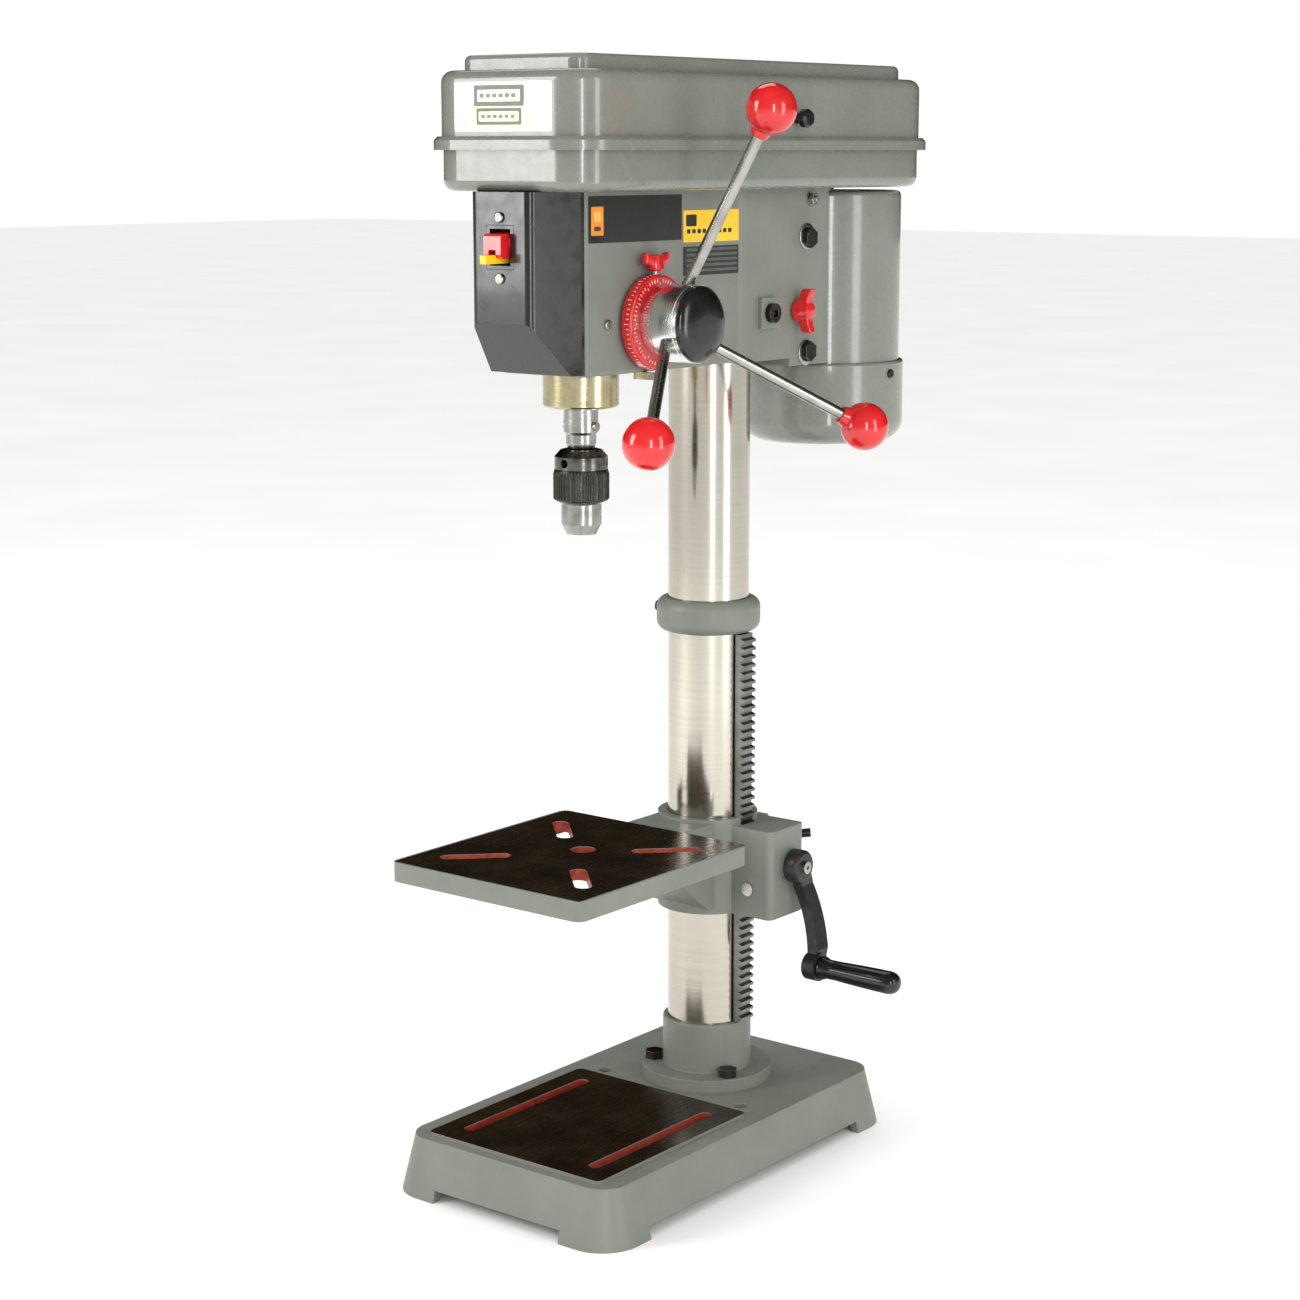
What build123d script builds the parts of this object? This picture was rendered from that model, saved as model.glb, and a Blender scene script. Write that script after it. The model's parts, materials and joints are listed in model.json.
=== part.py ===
from build123d import *
from math import acos, cos, degrees, pi, radians, sin, tan
import os

os.makedirs("parts", exist_ok=True)

# Bench drill press. Millimetres, +Z up, +X to the operator's right, -Y to the front.
# The origin is on the column axis, at the plane that the feet stand on.

# ---- driving dimensions -------------------------------------------------------------
RUN_FIT = 0.05            # radial clearance of shafts, pins and sliding bars
LOOSE = 0.35              # clearance of moving faces that pass close by
SEAT = 0.3                # gap under parts that rest on another body

# the sizes that set the machine: throat, head height, column, quill and motor
SPINDLE_REACH = 148.0     # column axis to spindle axis
HEAD_BOTTOM = 588.0       # underside of the head above the bench
COLUMN_R = 30.0
QUILL_R = 20.0
MOTOR_R = 58.5

# base
BASE_HALF_WIDTH = 94.0
BASE_FRONT = -238.0
BASE_BACK = 91.0
BASE_HEIGHT = 42.0
BASE_FLARE = 10.0
BASE_CORNER = 20.0
BASE_WALL = 7.0
FOOT_NOTCH = 9.0
FOOT_LENGTH = 46.0
PAD_HALF_WIDTH = 79.0
PAD_LENGTH = 172.0
PAD_MARGIN = 9.0
PAD_RISE = 2.0
PAD_CORNER = 5.0
RIB_HALF = 3.0
RIB_X = 29.0
RIB_LOW = 20.0
BASE_SLOT_WIDTH = 10.0
BASE_SLOT_X = 58.0
BASE_SLOT_LENGTH = 136.0
BENCH_HOLE_X = 64.0
BENCH_HOLE_Y = -44.0
BENCH_HOLE_R = 5.5

# column flange, rack and collar
COLUMN_WALL = 4.0
FLANGE_THICK = 10.0
FLANGE_RIM = 16.0
FLANGE_TUBE_WALL = 3.5
FLANGE_TOP = 90.0
FLANGE_BOLT_TURNS = (90, 210, 330)
FLANGE_BOLT_INSET = 7.0
FLANGE_BOLT_R = 3.9
FLANGE_BOLT_FLATS = 12.5
FLANGE_BOLT_HEAD = 6.0
RACK_MODULE = 2.0
RACK_DEPTH = 6.55         # rack's back face to its pitch line
RACK_HALF_WIDTH = 7.5
RACK_ADDENDUM = 0.65
RACK_DEDENDUM = 0.95
BACKLASH = 0.25
LIFT_TEETH = 12
COLLAR_WALL = 8.5
COLLAR_BOTTOM = 388.0
COLLAR_HEIGHT = 25.0
COLLAR_ROUND = 7.5
SET_SCREW_R = 3.0
SET_SCREW_HEAD_R = 4.2

# table
TABLE_HALF_WIDTH = 86.0
TABLE_OVERHANG = 108.0    # table's front edge ahead of the spindle
TABLE_TOP = 249.0
TABLE_THICK = 14.0
TABLE_SKIN = 8.0
TABLE_RIM = 9.0
TABLE_CORNER = 7.0
TABLE_SLOT_WIDTH = 12.0
TABLE_SLOT_LENGTH = 50.0
TABLE_SLOT_INSET = 38.0
TABLE_HOLE_R = 9.0
TABLE_RIB_HALF = 24.0
NECK_HALF_WIDTH = 27.0
NECK_GAP = 28.5           # table plate's back edge to the sleeve
SLEEVE_WALL = 7.5
SLEEVE_HEIGHT = 71.0
SLIT_HALF = 3.0
EAR_THICK = 12.0
EAR_REACH = 20.5
GEARBOX_FRONT = -16.0
GEARBOX_BACK = 27.0
GEARBOX_WALL = 7.0
GEARBOX_PAST_GEAR = 21.0
GEAR_RISE = 21.0          # lift gear's axis above the sleeve's lower end
GEAR_PIN_R = 5.0
WORM_Y = 8.0
WORM_PITCH_R = 5.5
WORM_R = 7.5
WORM_SHAFT_R = 5.0
CRANK_REACH = 74.0
CRANK_HUB_R = 12.5
CRANK_HUB_WIDTH = 11.0
CRANK_FOOT_R = 10.5
CRANK_DISH = 14.5         # crank's foot stands out past its hub, clear of the table
CRANK_WEB = 8.0
CRANK_PIN_R = 4.0
CRANK_SCREW_R = 2.4
GRIP_LENGTH = 68.0
GRIP_R = 8.5
LOCK_BOLT_R = 4.0
LOCK_RISE = 44.0
LOCK_REACH = 32.0

# head
HEAD_HEIGHT = 123.0
HEAD_HALF_WIDTH = 38.0
HEAD_NOSE = 42.0          # head's front face ahead of the spindle
HEAD_COLUMN_WALL = 12.0
HEAD_BACK_WALL = 40.0     # column's bore to the wall that faces the motor
HEAD_CHEEK_LENGTH = 20.0
HEAD_CHEEK = 6.0
HEAD_SKIRT = 6.0
HEAD_ROUND = 4.0
HEAD_POCKET_WALL = 8.0
HEAD_POCKET_FLOOR = 9.0
HEAD_LOCK_Y = 12.0
HEAD_LOCK_R = 5.0
HEAD_LOCK_BOSS = 11.0
TONGUE_X = 12.0
TONGUE_HALF_THICK = 4.0
TONGUE_HALF_HEIGHT = 10.0
KNOB_SCREW_R = 4.0
BAR_BOLT_R = 4.0
BAR_BOLT_FLATS = 13.0
GLAND_Y = 30.0
GLAND_RISE = 62.0
GLAND_R = 5.0

# switch and its cover
COVER_DEPTH = 41.0
COVER_HALF_WIDTH = 25.0
COVER_LIFT = 2.0
COVER_CHAMFER_RISE = 38.0
COVER_CHAMFER_DEPTH = 31.0
COVER_WALL = 3.0
SWITCH_DROP = 36.0        # switch centre below the head's top
SWITCH_HALF_W = 12.0
SWITCH_HALF_H = 14.5
SWITCH_POCKET = 14.0      # depth of the head's recess behind the switch
PADDLE_PIN_R = 1.5
KEY_HALF_W = 2.8
KEY_TOP_DROP = 4.8
KEY_BOTTOM_DROP = 10.5
COVER_SCREW_R = 1.9
COVER_SCREW_HEAD_R = 3.6

# quill, spindle and chuck
QUILL_LENGTH = 118.0
QUILL_STROKE = 50.0
QUILL_DROP = 24.5         # quill's lower end below the head at rest
BEARING_WALL = 4.8
BEARING_WIDTH = 11.0
RING_WALL = 6.25
RING_HEIGHT = 23.5
NOSE_R = 12.0
SPINDLE_R = 8.5
SPLINE_R = 7.0
CHUCK_DROP = 28.5         # chuck's top below the quill
CHUCK_LENGTH = 59.0
CHUCK_R = 18.5
CHUCK_SLEEVE_R = 19.5
CHUCK_SLEEVE_LOW = 36.0
CHUCK_SLEEVE_HIGH = 14.0
CHUCK_SLEEVE_WALL = 2.8
CHUCK_NOSE_R = 14.0
CHUCK_TIP_R = 10.5
CHUCK_BORE_R = 5.2
CHUCK_FLUTES = 48
TAPER_LOW_R = 6.6
TAPER_HIGH_R = 7.4
TAPER_LENGTH = 19.0
KEY_HOLE_R = 3.0
JAW_TURNS = (90, 210, 330)
JAW_R = 2.6
JAW_TILT = 11.0
JAW_OPEN_R = 7.0
JAW_LENGTH = 34.0

# feed
FEED_RISE = 34.5          # feed shaft above the head's underside
FEED_TEETH = 12
FEED_MODULE = 1.5
FEED_SHAFT_R = 7.5
FEED_BOSS_R = 24.0
PINION_HALF = 9.0
QUILL_RACK_MARGIN = 21.0
DEPTH_RING_R = 32.5
DEPTH_RING_GAP = 3.0
DEPTH_RING_WIDTH = 8.0
RING_SCREW_R = 2.5
HUB_R = 26.5
HUB_LENGTH = 38.0         # depth ring's face to the end of the hub
CAP_LENGTH = 11.0
SPOKE_COUNT = 3
SPOKE_R = 4.0
SPOKE_ROOT_R = 16.0
SPOKE_ROOT_INSET = 13.0
BALL_AHEAD = 58.0
BALL_REACH = 142.0
BALL_R = 17.0
FIRST_SPOKE_ANGLE = 2.0
SPRING_CAP_R = 29.0
SPRING_CAP_DEPTH = 20.0
SPRING_CAP_WALL = 2.5
SPRING_STUB_R = 4.0
SPRING_PITCH = 2.6
SPRING_THICK = 0.9

# motor and its slide
MOTOR_DROP = 3.0          # motor's top below the head's top
MOTOR_LENGTH = 128.0
MOTOR_CAP_LENGTH = 62.0
MOTOR_CAP_RIM = 3.5
MOTOR_WALL = 3.0
MOTOR_SHAFT_R = 7.0
MOTOR_VENTS = 16
ROTOR_R = 30.0
ROTOR_TOP_DROP = 34.0
ROTOR_RISE = 12.0
PLATE_THICK = 7.0
SLIDE_BAR_R = 7.0
SLIDE_TRAVEL = 8.0
SLIDE_BAR_RISES = (52.5, -30.5)

# belt drive
PULLEY_LIFT = 7.0
PULLEY_STEP = 12.0
PULLEY_RADII = (22.0, 29.0, 36.0, 43.0, 50.0)
PULLEY_STEM_R = 9.5
PULLEY_BEARING_R = 17.0
PULLEY_BEARING_WIDTH = 10.0
PULLEY_BEARING_DEPTH = 24.0
GROOVE_DEPTH = 7.0
GROOVE_TOP_HALF = 4.6
GROOVE_ROOT_HALF = 2.9

# belt guard: a tray with a hinged lid
GUARD_NOSE = 78.0         # guard's front ahead of the spindle
GUARD_TAIL = 53.0         # guard's back behind the motor shaft
TRAY_HALF_WIDTH = 68.0
TRAY_HEIGHT = 30.5
SHEET = 2.0
FRONT_CORNER = 26.0
BACK_CORNER = 42.0
LID_OVERLAP = 3.5
LID_LAP = 0.6
LID_GROW = 1.0
LIP_GROW = 6.5
LIP_HEIGHT = 9.0
LID_HEADROOM = 12.0
PANEL_RISE = 10.0
PANEL_INSET = 15.0
TRAY_ROUND = 7.0
LID_ROUND = 8.0
PANEL_ROUND = 4.0
HINGE_OUT = 12.0
HINGE_PIN_R = 2.5
HINGE_BARREL_R = 5.1
HINGE_INSETS = (106.0, 104.0)
TRAY_SCREW_X = 28.0
TRAY_SCREW_R = 2.5
LID_KNOB_Y = 9.0
LID_KNOB_RISE = 22.0

# ---- derived places -----------------------------------------------------------------
FLANGE_TUBE_R = COLUMN_R + FLANGE_TUBE_WALL
FLANGE_R = FLANGE_TUBE_R + FLANGE_RIM
FLANGE_BOLT_CIRCLE = FLANGE_TUBE_R + FLANGE_BOLT_INSET
FLANGE_SEAT = BASE_HEIGHT + FLANGE_THICK
PAD_FRONT = BASE_FRONT + PAD_MARGIN
PAD_TOP = BASE_HEIGHT + PAD_RISE
COLLAR_R = COLUMN_R + COLLAR_WALL
COLLAR_MIDDLE = COLLAR_BOTTOM + COLLAR_HEIGHT / 2

RACK_BACK = COLUMN_R + 0.45
RACK_PITCH_X = RACK_BACK + RACK_DEPTH
RACK_TIP_X = RACK_PITCH_X + RACK_ADDENDUM * RACK_MODULE
RACK_BOTTOM = FLANGE_TOP + SEAT
RACK_TOP = COLLAR_BOTTOM - SEAT
LIFT_PITCH_R = RACK_MODULE * LIFT_TEETH / 2
GEAR_TIP_R = LIFT_PITCH_R + 0.8 * RACK_MODULE
GEAR_X = RACK_PITCH_X + LIFT_PITCH_R
SLEEVE_R = COLUMN_R + SLEEVE_WALL
SLEEVE_BOTTOM = TABLE_TOP - SLEEVE_HEIGHT
SLEEVE_TOP = TABLE_TOP + 0.8
GEAR_Z = SLEEVE_BOTTOM + GEAR_RISE
WORM_Z = GEAR_Z + LIFT_PITCH_R + WORM_PITCH_R
GEARBOX_OUT = GEAR_X + GEARBOX_PAST_GEAR
CRANK_HUB_X = GEARBOX_OUT + 3.0
CRANK_FACE = CRANK_HUB_X + CRANK_HUB_WIDTH
CRANK_LOW_Z = WORM_Z - CRANK_REACH
CRANK_FOOT_X = CRANK_HUB_X + CRANK_DISH
GRIP_START = CRANK_FOOT_X + 12.0
LOCK_Y = SLEEVE_R + 11.5
LOCK_Z = SLEEVE_BOTTOM + LOCK_RISE

SPINDLE_Y = -SPINDLE_REACH
TABLE_FRONT = SPINDLE_Y - TABLE_OVERHANG
TABLE_BACK = -SLEEVE_R - NECK_GAP
TABLE_UNDER = TABLE_TOP - TABLE_THICK
HEAD_TOP = HEAD_BOTTOM + HEAD_HEIGHT
HEAD_FRONT = SPINDLE_Y - HEAD_NOSE
HEAD_REAR_HALF_WIDTH = COLUMN_R + HEAD_COLUMN_WALL
HEAD_WALL_BACK = COLUMN_R + HEAD_BACK_WALL
HEAD_CHEEK_BACK = HEAD_WALL_BACK + HEAD_CHEEK_LENGTH
HEAD_REAR_BOTTOM = HEAD_BOTTOM - HEAD_SKIRT
HEAD_LOCK_FACE = HEAD_REAR_HALF_WIDTH + 4.0
COLUMN_TOP = HEAD_TOP - 8.0
BAR_BOLT_Y = HEAD_WALL_BACK - 8.0
TENSION_Y = COLUMN_R + 20.0
SIDE_SCREW_Y = SPINDLE_Y - 18.0
GLAND_Z = HEAD_BOTTOM + GLAND_RISE
COVER_FRONT = HEAD_FRONT - COVER_DEPTH
COVER_BOTTOM = HEAD_BOTTOM + COVER_LIFT
COVER_CHAMFER_Z = HEAD_BOTTOM + COVER_CHAMFER_RISE
COVER_CHAMFER_Y = COVER_FRONT + COVER_CHAMFER_DEPTH
SWITCH_Z = HEAD_TOP - SWITCH_DROP
PADDLE_PIVOT_Y = COVER_FRONT + 7.0
PADDLE_PIVOT_Z = SWITCH_Z + 3.5

FEED_PITCH_R = FEED_MODULE * FEED_TEETH / 2
FEED_OFFSET = QUILL_R + 6.0
FEED_Y = SPINDLE_Y + FEED_OFFSET
FEED_Z = HEAD_BOTTOM + FEED_RISE
HEAD_POCKET_FRONT = FEED_Y + 18.0
HEAD_POCKET_BACK = -COLUMN_R - 18.0
QUILL_RACK_PLANE = FEED_OFFSET - FEED_PITCH_R
QUILL_RACK_START = FEED_Z - QUILL_RACK_MARGIN
QUILL_BOTTOM = HEAD_BOTTOM - QUILL_DROP
QUILL_TOP = QUILL_BOTTOM + QUILL_LENGTH
BEARING_R = QUILL_R - BEARING_WALL
RING_R = QUILL_R + RING_WALL
RING_BOTTOM = HEAD_BOTTOM - RING_HEIGHT
CHUCK_TOP = QUILL_BOTTOM - CHUCK_DROP
CHUCK_BOTTOM = CHUCK_TOP - CHUCK_LENGTH
CHUCK_SLEEVE_TOP = CHUCK_TOP - CHUCK_SLEEVE_HIGH
CHUCK_SLEEVE_BOTTOM = CHUCK_TOP - CHUCK_SLEEVE_LOW
DEPTH_RING_X = HEAD_HALF_WIDTH + DEPTH_RING_GAP
DEPTH_RING_END = DEPTH_RING_X + DEPTH_RING_WIDTH
DEPTH_RING_MIDDLE = DEPTH_RING_X + DEPTH_RING_WIDTH / 2
HUB_END = DEPTH_RING_X + HUB_LENGTH
CAP_END = HUB_END + CAP_LENGTH
SPOKE_ROOT_X = HUB_END - SPOKE_ROOT_INSET
BALL_X = HUB_END + BALL_AHEAD
SPRING_CAP_END = -HEAD_HALF_WIDTH - SPRING_CAP_DEPTH

MOTOR_PLATE_FRONT = HEAD_WALL_BACK + SLIDE_TRAVEL + 2.5
MOTOR_Y = MOTOR_PLATE_FRONT + PLATE_THICK + MOTOR_R
MOTOR_CAP_R = MOTOR_R + MOTOR_CAP_RIM
MOTOR_TOP = HEAD_TOP - MOTOR_DROP
MOTOR_CAP_TOP = MOTOR_TOP - MOTOR_LENGTH
MOTOR_BOTTOM = MOTOR_CAP_TOP - MOTOR_CAP_LENGTH
ROTOR_BOTTOM = MOTOR_CAP_TOP + ROTOR_RISE
ROTOR_TOP = MOTOR_TOP - ROTOR_TOP_DROP
SLIDE_BAR_Z = tuple(FEED_Z + rise for rise in SLIDE_BAR_RISES)

PULLEY_BOTTOM = HEAD_TOP + PULLEY_LIFT
PULLEY_TOP = PULLEY_BOTTOM + PULLEY_STEP * len(PULLEY_RADII)
PULLEY_BEARING_BOTTOM = HEAD_TOP - PULLEY_BEARING_DEPTH
MIDDLE_STEP = len(PULLEY_RADII) // 2
GUARD_FRONT = SPINDLE_Y - GUARD_NOSE
GUARD_BACK = MOTOR_Y + GUARD_TAIL
TRAY_BOTTOM = HEAD_TOP
TRAY_TOP = TRAY_BOTTOM + TRAY_HEIGHT
LID_BOTTOM = TRAY_TOP - LID_OVERLAP
LID_SHOULDER = PULLEY_TOP + LID_HEADROOM
LID_TOP = LID_SHOULDER + PANEL_RISE
HINGE_X = -TRAY_HALF_WIDTH - HINGE_OUT
HINGE_Z = LID_BOTTOM - 1.0
HINGE_Y = (GUARD_FRONT + HINGE_INSETS[0], GUARD_BACK - HINGE_INSETS[1])
LID_KNOB_Z = LID_BOTTOM + LID_KNOB_RISE


# ---- shapes used over and over ------------------------------------------------------
def block(x0, x1, y0, y1, z0, z1):
    """A box between two corners."""
    low = (Align.MIN, Align.MIN, Align.MIN)
    return Pos(x0, y0, z0) * Box(x1 - x0, y1 - y0, z1 - z0, align=low)


def rod_z(radius, z0, z1, x=0.0, y=0.0):
    low = (Align.CENTER, Align.CENTER, Align.MIN)
    return Pos(x, y, z0) * Cylinder(radius, z1 - z0, align=low)


def rod_x(radius, x0, x1, y=0.0, z=0.0):
    low = (Align.CENTER, Align.CENTER, Align.MIN)
    return Pos(x0, y, z) * Rot(0, 90, 0) * Cylinder(radius, x1 - x0, align=low)


def rod_y(radius, y0, y1, x=0.0, z=0.0):
    low = (Align.CENTER, Align.CENTER, Align.MIN)
    return Pos(x, y0, z) * Rot(-90, 0, 0) * Cylinder(radius, y1 - y0, align=low)


def hex_z(across_flats, z0, z1, x=0.0, y=0.0):
    hexagon = RegularPolygon(across_flats / 2, 6, major_radius=False)
    return Pos(x, y, z0) * extrude(hexagon, z1 - z0)


def hex_x(across_flats, x0, x1, y=0.0, z=0.0):
    hexagon = RegularPolygon(across_flats / 2, 6, major_radius=False)
    return Pos(x0, y, z) * Rot(0, 90, 0) * extrude(hexagon, x1 - x0)


def turned(points, x=0.0, y=0.0):
    """A solid turned about a vertical axis at (x, y) from (radius, height) corners."""
    profile = make_face(Polyline(*points, close=True))
    solid = revolve(Plane.XZ * profile, Axis.Z)
    return Pos(x, y, 0) * solid


def turned_x(points, y, z):
    """A solid turned about an axis along X from (radius, x) corners."""
    return Pos(0, y, z) * Rot(0, 90, 0) * turned(points)


def slot_cut(x, y, length, width, z0, z1, angle=90.0):
    """A through slot with round ends, centred on (x, y)."""
    outline = SlotOverall(length, width)
    return Pos(x, y, z0) * Rot(0, 0, angle) * extrude(outline, z1 - z0)


def gear_outline(module, teeth, addendum, dedendum, backlash):
    """An involute gear outline with a gap of teeth on the +X side of its centre."""
    pressure = radians(20)
    pitch_r = module * teeth / 2
    base_r = pitch_r * cos(pressure)
    tip_r = pitch_r + addendum * module
    root_r = pitch_r - dedendum * module
    half_tooth = pi / (2 * teeth) - backlash / (2 * pitch_r)
    involute = tan(pressure) - pressure

    def half_angle(radius):
        roll = acos(min(1.0, base_r / radius))
        return half_tooth + involute - (tan(roll) - roll)

    flank = [root_r] if root_r < base_r else []
    start = max(base_r, root_r)
    steps = 5
    flank += [start + (tip_r - start) * i / steps for i in range(steps + 1)]
    points = []
    for tooth in range(teeth):
        middle = 2 * pi * (tooth + 0.5) / teeth
        for radius in flank:
            angle = middle - half_angle(max(radius, base_r))
            points.append((radius * cos(angle), radius * sin(angle)))
        for radius in reversed(flank):
            angle = middle + half_angle(max(radius, base_r))
            points.append((radius * cos(angle), radius * sin(angle)))
    return make_face(Polyline(*points, close=True))


def rack_outline(module, length, back, addendum, dedendum, backlash):
    """A rack in the XY plane: teeth point to +X, the pitch line is x = 0, y runs up from 0."""
    lean = tan(radians(20))
    tip = addendum * module
    root = -dedendum * module
    half = pi * module / 4 - backlash / 2
    points = [(back, 0), (root, 0)]
    tooth_y = pi * module / 2
    while tooth_y + pi * module / 2 < length:
        points.append((root, tooth_y - half - lean * -root))
        points.append((tip, tooth_y - half + lean * tip))
        points.append((tip, tooth_y + half - lean * tip))
        points.append((root, tooth_y + half + lean * -root))
        tooth_y += pi * module
    points += [(root, length), (back, length)]
    return make_face(Polyline(*points, close=True))


def save(name, *solids):
    shape = solids[0] if len(solids) == 1 else Compound(children=list(solids))
    export_step(shape, f"parts/{name}.step")


# ---- base and column ----------------------------------------------------------------
def base_plan(grow, z):
    width = 2 * (BASE_HALF_WIDTH + grow)
    length = BASE_BACK - BASE_FRONT + 2 * grow
    middle = (BASE_BACK + BASE_FRONT) / 2
    corner = BASE_CORNER + grow
    return Pos(0, middle, z) * RectangleRounded(width, length, corner)


def base_casting():
    outside = loft([base_plan(BASE_FLARE, 0), base_plan(0, BASE_HEIGHT)])
    roof = BASE_HEIGHT - BASE_WALL
    hollow = loft([base_plan(BASE_FLARE - BASE_WALL, 0), base_plan(-BASE_WALL, roof)])
    body = outside - hollow
    pad = block(-PAD_HALF_WIDTH, PAD_HALF_WIDTH, PAD_FRONT, PAD_FRONT + PAD_LENGTH,
                BASE_HEIGHT - 1, PAD_TOP)
    body += fillet(pad.edges().filter_by(Axis.Z), PAD_CORNER)
    body += rod_z(FLANGE_R + 4, roof - 8, BASE_HEIGHT)
    for x in (-RIB_X, RIB_X):
        body += block(x - RIB_HALF, x + RIB_HALF, BASE_FRONT + 2, BASE_BACK - 2, RIB_LOW, roof + 1)
    top = PAD_TOP + 1
    slot_y = PAD_FRONT + PAD_LENGTH / 2
    for side in (-1, 1):
        body -= slot_cut(side * BASE_SLOT_X, slot_y, BASE_SLOT_LENGTH, BASE_SLOT_WIDTH, roof - 1,
                         top)
        body -= rod_z(BENCH_HOLE_R, roof - 10, top, side * BENCH_HOLE_X, BENCH_HOLE_Y)
    reach = BASE_HALF_WIDTH + BASE_FLARE
    front = BASE_FRONT - BASE_FLARE
    back = BASE_BACK + BASE_FLARE
    body -= block(FOOT_LENGTH - reach, reach - FOOT_LENGTH, front - 5, back + 5, -1, FOOT_NOTCH)
    body -= block(-reach - 5, reach + 5, front + FOOT_LENGTH, back - FOOT_LENGTH, -1, FOOT_NOTCH)
    for x, y in flange_bolt_places():
        body -= rod_z(FLANGE_BOLT_R + 0.1, roof - 9, top, x, y)
    return body


def flange_bolt_places():
    turns = [radians(turn) for turn in FLANGE_BOLT_TURNS]
    return [(FLANGE_BOLT_CIRCLE * cos(turn), FLANGE_BOLT_CIRCLE * sin(turn)) for turn in turns]


def column_flange():
    body = rod_z(FLANGE_R, BASE_HEIGHT, FLANGE_SEAT)
    body += rod_z(FLANGE_TUBE_R, BASE_HEIGHT, FLANGE_TOP)
    body = fillet(body.edges().filter_by(GeomType.CIRCLE).group_by(Axis.Z)[-1], 1.5)
    body -= rod_z(COLUMN_R + RUN_FIT, BASE_HEIGHT - 1, FLANGE_TOP + 1)
    for x, y in flange_bolt_places():
        body -= rod_z(FLANGE_BOLT_R + 0.3, BASE_HEIGHT - 1, FLANGE_SEAT + 1, x, y)
        body -= rod_z(FLANGE_BOLT_FLATS / 2 + 1.35, FLANGE_SEAT, FLANGE_TOP - 5, x, y)
    return body


def flange_bolts():
    bolts = []
    for x, y in flange_bolt_places():
        head = hex_z(FLANGE_BOLT_FLATS, FLANGE_SEAT, FLANGE_SEAT + FLANGE_BOLT_HEAD, x, y)
        bolts.append(head + rod_z(FLANGE_BOLT_R, BASE_HEIGHT - 14, FLANGE_SEAT + 1, x, y))
    return bolts


def column_tube():
    return rod_z(COLUMN_R, BASE_HEIGHT, COLUMN_TOP) - rod_z(
        COLUMN_R - COLUMN_WALL, BASE_HEIGHT - 1, COLUMN_TOP + 1)


def rack_collar():
    outer = rod_z(COLLAR_R, COLLAR_BOTTOM, COLLAR_BOTTOM + COLLAR_HEIGHT)
    outer = fillet(outer.edges().filter_by(GeomType.CIRCLE), COLLAR_ROUND)
    outer += rod_x(SET_SCREW_R + 3.5, -COLLAR_R - 2.5, -COLUMN_R - 1, 0, COLLAR_MIDDLE)
    outer -= rod_z(COLUMN_R + RUN_FIT, COLLAR_BOTTOM - 1, COLLAR_BOTTOM + COLLAR_HEIGHT + 1)
    return outer - rod_x(SET_SCREW_R + RUN_FIT, -COLLAR_R - 5, -COLUMN_R + 2, 0, COLLAR_MIDDLE)


def collar_set_screw():
    shank = rod_x(SET_SCREW_R, -COLLAR_R - 7, -COLUMN_R - 0.1, 0, COLLAR_MIDDLE)
    head = rod_x(SET_SCREW_HEAD_R, -COLLAR_R - 9, -COLLAR_R - 3.5, 0, COLLAR_MIDDLE)
    socket = hex_x(4.0, -COLLAR_R - 10, -COLLAR_R - 5, 0, COLLAR_MIDDLE)
    return shank + head - socket


def lift_rack():
    outline = rack_outline(RACK_MODULE, RACK_TOP - RACK_BOTTOM, RACK_BACK - RACK_PITCH_X,
                           RACK_ADDENDUM, RACK_DEDENDUM, BACKLASH)
    strip = extrude(Plane.XZ * outline, 2 * RACK_HALF_WIDTH)
    return Pos(RACK_PITCH_X, RACK_HALF_WIDTH, RACK_BOTTOM) * strip


# ---- table --------------------------------------------------------------------------
def table_plate():
    plate = block(-TABLE_HALF_WIDTH, TABLE_HALF_WIDTH, TABLE_FRONT, TABLE_BACK, TABLE_UNDER,
                  TABLE_TOP)
    plate = fillet(plate.edges().filter_by(Axis.Z), TABLE_CORNER)
    inside = TABLE_HALF_WIDTH - TABLE_RIM
    plate -= block(-inside, inside, TABLE_FRONT + TABLE_RIM, TABLE_BACK - TABLE_RIM,
                   TABLE_UNDER - 1, TABLE_TOP - TABLE_SKIN)
    middle = (TABLE_FRONT + TABLE_BACK) / 2
    rib_top = TABLE_TOP - TABLE_SKIN + 1
    plate += block(-TABLE_RIB_HALF, TABLE_RIB_HALF, middle, TABLE_BACK, TABLE_UNDER, rib_top)
    plate += rod_z(TABLE_HOLE_R + 13, TABLE_UNDER, rib_top, 0, SPINDLE_Y)
    place = TABLE_HALF_WIDTH - TABLE_SLOT_INSET
    for sx in (-1, 1):
        for sy in (-1, 1):
            plate -= slot_cut(sx * place, middle + sy * place, TABLE_SLOT_LENGTH,
                              TABLE_SLOT_WIDTH, TABLE_UNDER - 2, TABLE_TOP + 1, 45 * sx * sy)
    return plate - rod_z(TABLE_HOLE_R, TABLE_UNDER - 2, TABLE_TOP + 1, 0, SPINDLE_Y)


def table_neck():
    """The web that carries the plate on the sleeve: a gusset that deepens towards the column."""
    toe = TABLE_BACK - 34
    root = -COLUMN_R + 10
    side = Polyline((toe, TABLE_UNDER + 2), (toe, TABLE_UNDER - 1),
                    (-SLEEVE_R + 2, SLEEVE_BOTTOM + 6), (root, SLEEVE_BOTTOM + 6),
                    (root, TABLE_TOP - 1), (TABLE_BACK - 2, TABLE_TOP - 1),
                    (TABLE_BACK - 2, TABLE_UNDER + 2), close=True)
    return extrude(Plane.YZ * make_face(side), NECK_HALF_WIDTH, both=True)


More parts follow.
